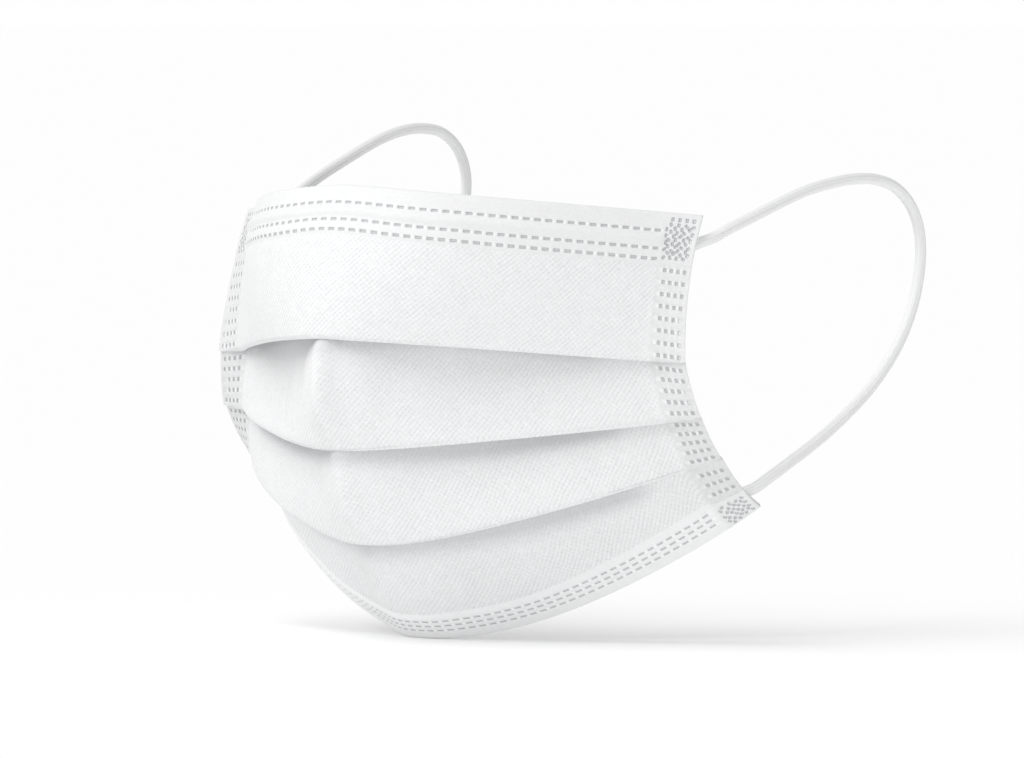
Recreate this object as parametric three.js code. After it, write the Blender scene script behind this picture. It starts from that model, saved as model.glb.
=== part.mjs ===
// Pleated face mask in the bowed-out shape it has when worn, with two round elastic ear loops.
// Millimetres, +Z up. The front looks along -Y, the wearer's left is +X, and the origin is where
// the middle of the nose hem sits on the bridge of the nose.

import * as THREE from 'three';

// Driving sizes

const clothWidth = 187;       // along a fold line, from side edge to side edge
const faceDrop = 114.5;       // nose edge to chin edge at the middle, as worn
const wall = 1.0;             // three bonded cloth layers with their loft
const layerGap = 0.3;         // clearance between layers that lie on each other
const pleatDepth = 10;        // mean depth of a pleat at the side edge
const noseHemDepth = 13.5;    // nose hem, front leg
const noseHemReturn = 12;     // nose hem, leg turned to the inside
const chinHemDepth = 9;       // chin hem, front leg
const chinHemReturn = 8;      // chin hem, leg turned to the inside
const hemWall = 1.0;
const channelRise = 0.8;      // how far the nose channel stands above its weld rows
const padThickness = 1.2;     // flattened end of a loop
const padLength = 7.5;        // across the side edge
const padHeight = 8;          // along the side edge
const padInset = 2.5;         // pad to side edge
const cordDiameter = 2.9;

// Stations across the cloth, as shares of the half width from the middle

const stationCount = 17;
const stationCrowding = 1.35;
const flareStart = 0.88;      // the welded side bands flare out again
const flareEnd = 0.915;
const turnStations = [0, 0.12, 0.32, 0.62, flareStart, flareEnd, 1];
const crownStations = [0, 0.35, 1];
const lineSteps = 120;        // straight steps that make up half a line

// Rows of points down a panel: in the nose panel, in the others where they show, and behind a fold

const noseRows = 6;
const shownRows = 5;
const hiddenRows = 2;

// One row for each line that shows on the front, from the nose edge down. drop and back say how far
// its middle lies below and behind the nose edge, and lift how much higher its ends are: shares of
// faceDrop. rounding is the share of the half width in which the lift sets in. turn gives its
// direction in plan at the turn stations, in degrees away from straight across.

const lines = [
  {
    name: 'nose edge', drop: 0, back: 0, lift: -0.066, rounding: 0.08,
    turn: [0, 8, 37, 52, 54, 32, 32],
  },
  {
    name: 'first fold', drop: 0.328, back: -0.096, lift: -0.056, rounding: 0.06,
    turn: [0, 27, 40, 45, 49, 18, 18],
  },
  {
    name: 'second fold', drop: 0.578, back: -0.04, lift: 0.071, rounding: 0.06,
    turn: [0, 28, 37, 40, 50, 20, 20],
  },
  {
    name: 'third fold', drop: 0.79, back: 0.081, lift: 0.192, rounding: 0.24,
    turn: [0, 22, 24, 38, 51, 40, 40],
  },
  {
    name: 'chin edge', drop: 1, back: 0.3, lift: 0.293, rounding: 0.6,
    turn: [0, 34, 20, 26, 45, 48, 54],
  },
];

// One row for each panel between two lines. crown gives how far it bows out at the middle, the cheek
// and the side edge, and waist how far its side edge draws in, as shares of faceDrop.

const panels = [
  { name: 'nose panel', crown: [0.022, 0.03, 0.012], waist: 0.011 },
  { name: 'upper cheek panel', crown: [0.03, -0.004, 0.004], waist: 0.003 },
  { name: 'lower cheek panel', crown: [0.022, 0.012, 0.004], waist: 0.002 },
  { name: 'chin panel', crown: [0.045, 0.04, 0.01], waist: 0.002 },
];

// One row for each pleat, all as shares of pleatDepth: depth at the side edge, what stays folded at
// the middle, and how far the fold stands open at the middle and at the cheek.

const pleats = [
  { depth: 1.25, folded: 0.3, openMiddle: 0.12, openCheek: 0.62 },
  { depth: 0.9, folded: 0.2, openMiddle: 0.1, openCheek: 0.42 },
  { depth: 0.85, folded: 0.2, openMiddle: 0.16, openCheek: 0.4 },
];
const cheekOpening = { starts: 0.02, full: 0.2, fades: 0.42, closed: 0.97 };
const foldedCurve = 1.6;
const waistCurve = 6;

// Rows of the nose hem from its lower edge up, as shares of its depth, with the channel's crest

const noseHemRows = [
  { depth: 1, rise: 0 },
  { depth: 0.82, rise: 0 },
  { depth: 0.66, rise: 0.1 },
  { depth: 0.55, rise: 1 },
  { depth: 0.38, rise: 1 },
  { depth: 0.28, rise: 0.1 },
];
const chinHemRows = [
  { depth: 1, rise: 0 },
  { depth: 0.6, rise: 0 },
];

// Where a hem turns over its edge: depth as a share of hemWall, offset as a share of hemOffset

const hemTurn = [
  { depth: 0.78, offset: 1 },
  { depth: 0.5, offset: 0.45 },
  { depth: 0.5, offset: -0.45 },
  { depth: 0.78, offset: -1 },
];
const hemReturnRows = [0.35, 0.7, 1];

// Points of a pad, as shares of its length and height

const padStations = [0, 1 / 3, 2 / 3, 1];
const padRows = [0, 0.25, 0.5, 0.75, 1];

// Routes of the two ear loops, chosen points from the upper pad to the lower one

const leftLoopRoute = [
  [68.5, 54.2, -9.1], [70.2, 56, -8.6], [71.5, 59, -7.5], [72.3, 64, -5.5], [73, 72, -2.9],
  [73.4, 80, -0.4], [73.8, 88.5, 2.2], [74.3, 97.5, 4.6], [74.7, 107, 6.3], [75, 116, 7.2],
  [75.2, 125, 6.9], [75.4, 134, 4.9], [75.5, 141.2, 0.4], [75.6, 145.2, -5.5], [75.7, 146.2, -12.4],
  [75.8, 144.2, -22], [75.8, 140.3, -30], [75.8, 134.5, -37.2], [75.8, 124, -45.6],
  [75.7, 112.5, -52.9], [75.5, 100.5, -59.2], [75.1, 88, -64.6], [74.4, 79.7, -68.1],
  [73.2, 75.2, -69.8], [71.7, 73.2, -70.5],
];
const rightLoopRoute = [
  [-68.5, 54.2, -9.1], [-70.2, 56, -8.5], [-71.3, 60, -6.4], [-71.8, 68, -1.5], [-72, 77.5, 3.3],
  [-72.3, 86.5, 6.8], [-72.7, 95.5, 9.9], [-73.1, 104.5, 13.1], [-73.6, 113.5, 16],
  [-74.1, 123, 18.1], [-74.5, 132.5, 18.7], [-74.9, 141.5, 17.2], [-75.2, 148.5, 12.9],
  [-75.4, 152.2, 7], [-75.6, 152.9, 0.3], [-75.7, 150.3, -9.5], [-75.8, 144.5, -19.5],
  [-75.8, 135.5, -30], [-75.8, 124, -39.5], [-75.7, 111.5, -48.2], [-75.5, 99, -56.2],
  [-75.1, 88, -63.4], [-74.4, 79.7, -67.9], [-73.2, 75.2, -69.8], [-71.7, 73.2, -70.5],
];
const cordSides = 8;
const cordSteps = 40;

// Sizes that follow

const halfWidth = clothWidth / 2;
const foldRadius = (wall + layerGap) / 2;
const edgeInset = hemWall + 2 * layerGap;
const hemOffset = wall / 2 + layerGap + hemWall / 2;
const padOffset = hemOffset + hemWall / 2 + layerGap + padThickness / 2;

// Small helpers for a section, whose points hold out (away from the face), up and across

const radians = (degrees) => (degrees * Math.PI) / 180;

const mix = (a, b, share) => ({
  out: a.out + (b.out - a.out) * share,
  up: a.up + (b.up - a.up) * share,
  across: a.across + (b.across - a.across) * share,
});

const shift = (point, direction, length) => ({
  out: point.out + direction.out * length,
  up: point.up + direction.up * length,
  across: point.across,
});

const unit = (out, up) => {
  const length = Math.hypot(out, up);
  return { out: out / length, up: up / length };
};

const heading = (a, b) => unit(b.out - a.out, b.up - a.up);

// The side of a path that lies outwards while the path runs down

const outward = (direction) => ({ out: -direction.up, up: direction.out });

const distance = (a, b) => Math.hypot(b.out - a.out, b.up - a.up);

function smooth(from, to, value) {
  const share = Math.min(1, Math.max(0, (value - from) / (to - from)));
  return share * share * (3 - 2 * share);
}

function table(stations, values, place) {
  let k = 0;
  while (k < stations.length - 2 && place > stations[k + 1]) k += 1;
  const share = (place - stations[k]) / (stations[k + 1] - stations[k]);
  return values[k] + (values[k + 1] - values[k]) * share;
}

// Where a line lies at a place from 0, the middle, to 1, the side edge

function liftAt(line, place) {
  const k = line.rounding;
  const level = (value) => Math.sqrt(value * value + k * k) - k;
  return (line.lift * faceDrop * level(place)) / level(1);
}

function linePoint(line, place) {
  const steps = Math.max(1, Math.ceil(place * lineSteps));
  const run = (halfWidth * place) / steps;
  let x = 0;
  let y = line.back * faceDrop;
  for (let k = 0; k < steps; k += 1) {
    const rise = liftAt(line, ((k + 1) / steps) * place) - liftAt(line, (k / steps) * place);
    const flat = Math.sqrt(Math.max(run * run - rise * rise, 0));
    const turn = radians(table(turnStations, line.turn, ((k + 0.5) / steps) * place));
    x += flat * Math.cos(turn);
    y += flat * Math.sin(turn);
  }
  return new THREE.Vector3(x, y, liftAt(line, place) - line.drop * faceDrop);
}

// The local axes of a section: outwards and along the cloth, both level

function sectionAxes(place) {
  const turns = lines.map((line) => table(turnStations, line.turn, place));
  const turn = radians(turns.reduce((sum, value) => sum + value, 0) / turns.length);
  return {
    out: new THREE.Vector3(Math.sin(turn), -Math.cos(turn), 0),
    across: new THREE.Vector3(Math.cos(turn), Math.sin(turn), 0),
  };
}

// A panel's points from where it starts to just above its fold. knee is where it comes out from
// behind the fold above, and crown and waist are over the part that shows.

function panelPoints(start, knee, end, bow, hiddenCount, shownCount) {
  const points = [];
  for (let k = 0; k < hiddenCount; k += 1) points.push(mix(start, knee, k / hiddenCount));
  const normal = outward(heading(knee, end));
  for (let k = 0; k <= shownCount; k += 1) {
    const share = k / shownCount;
    const swell = 4 * share * (1 - share);
    const point = shift(mix(knee, end, share), normal, bow.crown * swell);
    points.push({ ...point, across: point.across - bow.waist * swell });
  }
  return points;
}

// The direction of a path at one of its points, between the stretches that meet there

function bearing(path, k) {
  return heading(path[Math.max(k - 1, 0)], path[Math.min(k + 1, path.length - 1)]);
}

// A place on a path at a distance back from its end, with the path's direction there

function walkBack(path, length) {
  let remaining = length;
  let k = path.length - 1;
  while (k > 1 && remaining > distance(path[k], path[k - 1])) {
    remaining -= distance(path[k], path[k - 1]);
    k -= 1;
  }
  const share = remaining / distance(path[k], path[k - 1]);
  const later = bearing(path, k);
  const earlier = bearing(path, k - 1);
  const down = unit(
    later.out + (earlier.out - later.out) * share,
    later.up + (earlier.up - later.up) * share,
  );
  return { ...mix(path[k], path[k - 1], share), down };
}

// The middle of the cloth at one place across it, from the nose edge to the chin edge

function sectionPath(place) {
  const axes = sectionAxes(place);
  const marks = lines.map((line) => {
    const point = linePoint(line, place);
    return { out: point.dot(axes.out), up: point.z, across: point.dot(axes.across) };
  });
  const bows = panels.map((panel) => ({
    crown: table(crownStations, panel.crown, place) * faceDrop,
    waist: panel.waist * faceDrop * place ** waistCurve,
  }));
  let tip = shift(marks[1], heading(marks[0], marks[1]), -foldRadius);
  let path = panelPoints(marks[0], marks[0], tip, bows[0], 0, noseRows);
  pleats.forEach((pleat, index) => {
    const kept = pleat.folded + (pleat.depth - pleat.folded) * place ** foldedCurve;
    const cheek = smooth(cheekOpening.starts, cheekOpening.full, place)
      * (1 - smooth(cheekOpening.fades, cheekOpening.closed, place));
    const middle = 1 - smooth(0, cheekOpening.full, place);
    const open = (pleat.openCheek * cheek + pleat.openMiddle * middle) * pleatDepth;
    const fold = { ...path[path.length - 1], down: heading(path[path.length - 2], path[path.length - 1]) };
    const lap = Math.max(kept * pleatDepth - foldRadius, foldRadius);
    const half = walkBack(path, lap / 2);
    const top = walkBack(path, lap);
    const halfTop = shift(half, outward(half.down), -2 * foldRadius - open / 2);
    const inner = shift(top, outward(top.down), -2 * foldRadius - open);
    const over = shift(shift(inner, top.down, -foldRadius), outward(top.down), -foldRadius);
    const start = shift(inner, outward(top.down), -2 * foldRadius);
    const under = shift(shift(fold, fold.down, foldRadius), outward(fold.down), -foldRadius);
    const knee = shift(fold, outward(fold.down), -4 * foldRadius - open);
    const mark = marks[index + 2];
    const last = index === pleats.length - 1;
    tip = shift(mark, heading(knee, mark), last ? 0 : -foldRadius);
    path = path.concat([
      under,
      shift(fold, outward(fold.down), -2 * foldRadius),
      halfTop,
      inner,
      over,
      ...panelPoints(start, knee, tip, bows[index + 1], hiddenRows, shownRows),
    ]);
  });
  return { path, axes };
}

// Both faces of a sheet of the given thickness along a path, with mitred corners

function faces(path, thickness) {
  const front = [];
  const back = [];
  path.forEach((point, k) => {
    const before = k > 0 ? heading(path[k - 1], point) : heading(point, path[1]);
    const after = k < path.length - 1 ? heading(point, path[k + 1]) : before;
    const bisector = unit(
      outward(before).out + outward(after).out,
      outward(before).up + outward(after).up,
    );
    const cosine = bisector.out * outward(before).out + bisector.up * outward(before).up;
    front.push(shift(point, bisector, thickness / 2 / cosine));
    back.push(shift(point, bisector, -thickness / 2 / cosine));
  });
  return { front, back };
}

function inSpace(point, axes, side) {
  const place = axes.out.clone().multiplyScalar(point.out);
  place.addScaledVector(axes.across, point.across);
  place.z = point.up;
  place.x *= side;
  return place;
}

// A closed solid through sections that each have as many points on both faces

function loft(sections) {
  const count = sections[0].front.length;
  const ring = count * 2;
  const positions = [];
  const indices = [];
  sections.forEach(({ front, back }) => {
    [...front, ...[...back].reverse()].forEach((point) => positions.push(point.x, point.y, point.z));
  });
  const quad = (a, b, c, d) => indices.push(a, b, c, a, c, d);
  for (let s = 0; s < sections.length - 1; s += 1) {
    for (let k = 0; k < ring; k += 1) {
      const next = (k + 1) % ring;
      quad(s * ring + k, s * ring + next, (s + 1) * ring + next, (s + 1) * ring + k);
    }
  }
  const lastRing = (sections.length - 1) * ring;
  for (let k = 0; k < count - 1; k += 1) {
    const opposite = ring - 1 - k;
    quad(k, opposite, opposite - 1, k + 1);
    quad(lastRing + k, lastRing + k + 1, lastRing + opposite - 1, lastRing + opposite);
  }
  const geometry = new THREE.BufferGeometry();
  geometry.setAttribute('position', new THREE.Float32BufferAttribute(positions, 3));
  geometry.setIndex(indices);
  return geometry;
}

// Signed places from the right side edge to the left one, closer together near the middle, with one
// where the flare starts

function places() {
  const even = Array.from({ length: stationCount }, (_, k) => ((k + 1) / stationCount) ** stationCrowding);
  const half = [...even, flareStart].sort((a, b) => a - b);
  return [...[...half].reverse().map((place) => -place), 0, ...half];
}

function strip(pathAt, thickness, between) {
  return loft(between.map((place) => {
    const { path, axes } = pathAt(Math.abs(place));
    const { front, back } = faces(path, thickness);
    const side = place < 0 ? -1 : 1;
    return {
      front: front.map((point) => inSpace(point, axes, side)),
      back: back.map((point) => inSpace(point, axes, side)),
    };
  }));
}

// The panel stops short of both edges, inside the hems

function panelPath(place) {
  const { path, axes } = sectionPath(place);
  const end = path.length - 1;
  const cut = (point, next) => mix(point, next, edgeInset / distance(point, next));
  const trimmed = [cut(path[0], path[1]), ...path.slice(1, end), cut(path[end], path[end - 1])];
  return { path: trimmed, axes };
}

// A point beside the panel at a distance from one of its edges; edge is 'nose' or 'chin'

function besidePanel(place, edge, depth, offset) {
  const { path, axes } = sectionPath(place);
  const towardsEdge = edge === 'nose' ? path.slice(0, noseRows + 1).reverse() : path.slice(-shownRows - 1);
  const spot = walkBack(towardsEdge, depth);
  const down = edge === 'nose' ? { out: -spot.down.out, up: -spot.down.up } : spot.down;
  return { point: shift(spot, outward(down), offset), axes };
}

// A hem folded over an edge, from its front leg round the edge to the leg inside

function hemPath(edge, rows, depth, returned) {
  return (place) => {
    const at = (down, offset) => besidePanel(place, edge, down, offset).point;
    const path = [
      ...rows.map((row) => at(row.depth * depth, hemOffset + row.rise * channelRise)),
      ...hemTurn.map((row) => at(row.depth * hemWall, row.offset * hemOffset)),
      ...hemReturnRows.map((share) => at(share * returned, -hemOffset)),
    ];
    return { path, axes: sectionPath(place).axes };
  };
}

// The flattened end of a loop, on the inside of a hem beside the side edge

function padPlaces(side) {
  const outer = 1 - padInset / halfWidth;
  const inner = outer - padLength / halfWidth;
  const spaced = padStations.map((share) => inner + (outer - inner) * share);
  return side < 0 ? spaced.reverse().map((place) => -place) : spaced;
}

function padPath(edge) {
  const spare = (edge === 'nose' ? noseHemReturn : chinHemReturn) - padHeight;
  const depths = padRows.map((share) => hemWall + spare / 2 + share * padHeight);
  return (place) => {
    const path = depths.map((depth) => besidePanel(place, edge, depth, -padOffset).point);
    return { path, axes: sectionPath(place).axes };
  };
}

// A round cord through chosen points

function cord(route) {
  const curve = new THREE.CatmullRomCurve3(route.map((point) => new THREE.Vector3(...point)));
  const corners = Array.from({ length: cordSides }, (_, k) => {
    const angle = ((k + 0.5) / cordSides) * 2 * Math.PI;
    return new THREE.Vector2(Math.cos(angle), Math.sin(angle)).multiplyScalar(cordDiameter / 2);
  });
  return new THREE.ExtrudeGeometry(new THREE.Shape(corners), {
    steps: cordSteps,
    bevelEnabled: false,
    extrudePath: curve,
  });
}

// The seat on the nose is the inner face of the nose hem, halfway down its inside leg

function noseSeat() {
  const { point, axes } = besidePanel(0, 'nose', noseHemReturn / 2, -hemOffset - hemWall / 2);
  return inSpace(point, axes, 1);
}

// Materials

const embossedCloth = new THREE.MeshStandardMaterial({ color: 0xeef0f3, roughness: 0.9, metalness: 0 });
const smoothCloth = new THREE.MeshStandardMaterial({ color: 0xf1f3f5, roughness: 0.8, metalness: 0 });
const elastic = new THREE.MeshStandardMaterial({ color: 0xe9ebee, roughness: 0.85, metalness: 0 });

function piece(name, geometry, material) {
  const mesh = new THREE.Mesh(geometry, material);
  mesh.name = name;
  return mesh;
}

// Assembly

const mask = new THREE.Group();
const cloth = new THREE.Group();
const across = places();
cloth.add(piece('pleated_panel', strip(panelPath, wall, across), embossedCloth));
cloth.add(piece(
  'nose_hem',
  strip(hemPath('nose', noseHemRows, noseHemDepth, noseHemReturn), hemWall, across),
  smoothCloth,
));
cloth.add(piece(
  'chin_hem',
  strip(hemPath('chin', chinHemRows, chinHemDepth, chinHemReturn), hemWall, across),
  smoothCloth,
));
[{ side: 1, hand: 'left' }, { side: -1, hand: 'right' }].forEach(({ side, hand }) => {
  [{ edge: 'nose', level: 'upper' }, { edge: 'chin', level: 'lower' }].forEach(({ edge, level }) => {
    const pad = strip(padPath(edge), padThickness, padPlaces(side));
    cloth.add(piece(`loop_pad_${level}_${hand}`, pad, elastic));
  });
});
cloth.position.copy(noseSeat()).negate();
mask.add(cloth);
mask.add(piece('left_ear_loop', cord(leftLoopRoute), elastic));
mask.add(piece('right_ear_loop', cord(rightLoopRoute), elastic));

export default mask;
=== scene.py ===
"""A pleated face mask in the shape it has when worn: cloth, hems, weld marks, ear loops, studio.

Metres, +Z up. The outside of the mask looks along -Y and the wearer's left is +X. The origin is
where the middle of the nose hem sits on the bridge of the nose.
"""

import logging
import math
from dataclasses import dataclass, field, replace
from enum import Enum

import bpy
import numpy as np
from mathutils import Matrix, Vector


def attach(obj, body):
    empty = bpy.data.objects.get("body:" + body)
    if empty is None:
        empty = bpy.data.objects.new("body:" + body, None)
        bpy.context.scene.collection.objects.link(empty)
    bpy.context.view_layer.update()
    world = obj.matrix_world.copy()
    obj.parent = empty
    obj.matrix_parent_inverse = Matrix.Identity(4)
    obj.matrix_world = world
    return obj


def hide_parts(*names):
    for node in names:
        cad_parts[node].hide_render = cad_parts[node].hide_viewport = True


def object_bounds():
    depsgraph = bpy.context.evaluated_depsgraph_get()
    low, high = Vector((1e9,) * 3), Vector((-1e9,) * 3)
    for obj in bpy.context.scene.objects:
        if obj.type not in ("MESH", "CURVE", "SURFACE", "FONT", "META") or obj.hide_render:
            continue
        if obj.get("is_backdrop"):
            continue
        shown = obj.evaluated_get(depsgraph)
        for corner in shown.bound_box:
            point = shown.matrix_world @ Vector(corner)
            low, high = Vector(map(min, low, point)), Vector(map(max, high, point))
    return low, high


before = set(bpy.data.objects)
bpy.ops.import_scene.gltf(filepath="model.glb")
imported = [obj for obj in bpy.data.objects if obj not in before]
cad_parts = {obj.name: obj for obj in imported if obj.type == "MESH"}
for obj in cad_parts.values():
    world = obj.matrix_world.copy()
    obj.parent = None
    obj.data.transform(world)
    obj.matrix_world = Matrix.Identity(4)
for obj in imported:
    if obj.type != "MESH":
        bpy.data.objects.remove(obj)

LOG = logging.getLogger("face_mask")
BODY = "root"
UV_PER_METRE = 1000.0
SMALLEST_LENGTH = 1e-9
CLOSEST_LINES = 4e-5
SHARPEST_CORNER = 0.45
IN_SECTION = np.array([1.0, 1.0, 0.0])
WHITE = (1.0, 1.0, 1.0)
Array = np.ndarray


class Edge(Enum):
    """The two hemmed edges of the panel, with the word for them in the names of pieces."""

    NOSE = "upper"
    CHIN = "lower"


class Side(Enum):
    """The wearer's two sides, with their sign along X."""

    LEFT = 1
    RIGHT = -1

    @property
    def word(self) -> str:
        """The word for the side in the names of pieces."""
        return self.name.lower()


# The last axis of a section's points is: out, away from the face; up; and across the mask.


def heading(a: Array, b: Array) -> Array:
    """Returns the unit directions from a to b in the plane of the section."""
    step = (b - a) * IN_SECTION
    return step / np.maximum(np.linalg.norm(step, axis=-1, keepdims=True), SMALLEST_LENGTH)


def outward(direction: Array) -> Array:
    """Turns directions by a right angle.

    Args:
        direction: Unit directions that run down a path.

    Returns:
        The directions that lead outwards from that path.
    """
    turned = np.zeros_like(direction)
    turned[..., 0] = -direction[..., 1]
    turned[..., 1] = direction[..., 0]
    return turned


def smooth(start: float, end: float, value: Array) -> Array:
    """Returns an even step from 0 at start to 1 at end."""
    share = np.clip((np.asarray(value, float) - start) / (end - start), 0.0, 1.0)
    return share * share * (3.0 - 2.0 * share)


def run_lengths(path: Array) -> Array:
    """Returns the length of each path up to each of its points, measured in the section."""
    steps = np.linalg.norm(np.diff(path[..., :2], axis=-2), axis=-1)
    return np.concatenate([np.zeros(steps.shape[:-1] + (1,)), np.cumsum(steps, axis=-1)], axis=-1)


def even_steps(start: float, end: float, step: float) -> Array:
    """Returns places from start to end, both included, that lie about a step apart."""
    return np.linspace(start, end, round((end - start) / step) + 1)


def point_along(path: Array, runs: Array, length: Array) -> Array:
    """Finds the point of each path at a length from its start.

    Args:
        path: Sections by points by three.
        runs: Sections by points, from run_lengths.
        length: One length for each section.

    Returns:
        The points, sections by three.
    """
    return np.array([
        [np.interp(at, run, line[:, k]) for k in range(3)]
        for line, run, at in zip(path, runs, np.broadcast_to(length, len(path)))
    ])


def spline_between(before: Array, start: Array, end: Array, after: Array, count: int) -> Array:
    """Follows a centripetal spline along one of its stretches.

    Args:
        before: The point ahead of start, sections by three.
        start: Where the stretch begins.
        end: Where it ends.
        after: The point behind end.
        count: How many points the stretch is divided into.

    Returns:
        The points, sections by count by three, with start and without end.
    """

    def knot(a: Array, b: Array) -> Array:
        """Returns the knot distance of two neighbours."""
        return np.sqrt(np.maximum(np.linalg.norm(b - a, axis=-1), SMALLEST_LENGTH))[:, None, None]

    t1 = knot(before, start)
    t2 = t1 + knot(start, end)
    t3 = t2 + knot(end, after)
    t = t1 + (t2 - t1) * (np.arange(count) / count)[None, :, None]
    p0, p1, p2, p3 = (p[:, None, :] for p in (before, start, end, after))
    a1 = p0 + (p1 - p0) * t / t1
    a2 = p1 + (p2 - p1) * (t - t1) / (t2 - t1)
    a3 = p2 + (p3 - p2) * (t - t2) / (t3 - t2)
    b1 = a1 + (a2 - a1) * t / t2
    b2 = a2 + (a3 - a2) * (t - t1) / (t3 - t1)
    return b1 + (b2 - b1) * (t - t1) / (t2 - t1)


@dataclass(frozen=True)
class FrontLine:
    """A line that shows on the front: the nose edge, a fold or the chin edge.

    drop, back and lift are shares of the face drop: how far the line's middle lies below the nose
    edge and behind it, and how much higher its ends lie than its middle. rounding says over what
    share of the half width the lift sets in. turn holds its turn in plan at the turn stations, in
    degrees.
    """

    drop: float
    back: float
    lift: float
    rounding: float
    turn: tuple[float, ...]


@dataclass(frozen=True)
class Bow:
    """How a panel bows: out at the crown stations, in at its side edge, and up at its crest.

    crown and waist are shares of the face drop, and crest is a length.
    """

    crown: tuple[float, ...]
    waist: float
    crest: float = 0.0


@dataclass(frozen=True)
class Pleat:
    """A pleat, as shares of the pleat depth.

    It holds the depth at the side, what stays folded at the middle, and how far the pleat stands
    open at the middle and at the cheeks.
    """

    depth: float
    folded: float
    open_middle: float
    open_cheek: float


@dataclass(frozen=True)
class WeldRows:
    """Rows of weld dots on a panel's side band, counted up from the panel's lower line."""

    first: float
    pitch: float
    count: int


@dataclass
class Sections:
    """The middle of the cloth at a run of stations from the right side edge to the left one.

    places holds each station's signed share of the half width, out and across its axes, and path
    the points of its section. panel_of and share_of say of each row which panel shows there and how
    far down that panel it lies, and are -1 inside a fold.
    """

    places: Array
    out: Array
    across: Array
    path: Array
    panel_of: Array
    share_of: Array

    def in_space(self, points: Array, origin: Array) -> Array:
        """Moves points of the sections into the part's frame.

        Args:
            points: Sections by points by three, as out, up and across.
            origin: The frame's origin, as x, y and z from the nose edge's middle.

        Returns:
            The points as x, y and z.
        """
        place = points[..., :1] * self.out[:, None, :] + points[..., 2:3] * self.across[:, None, :]
        place[..., 2] = points[..., 1]
        place[..., 0] *= np.where(self.places < 0, -1.0, 1.0)[:, None]
        return place - origin


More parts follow.
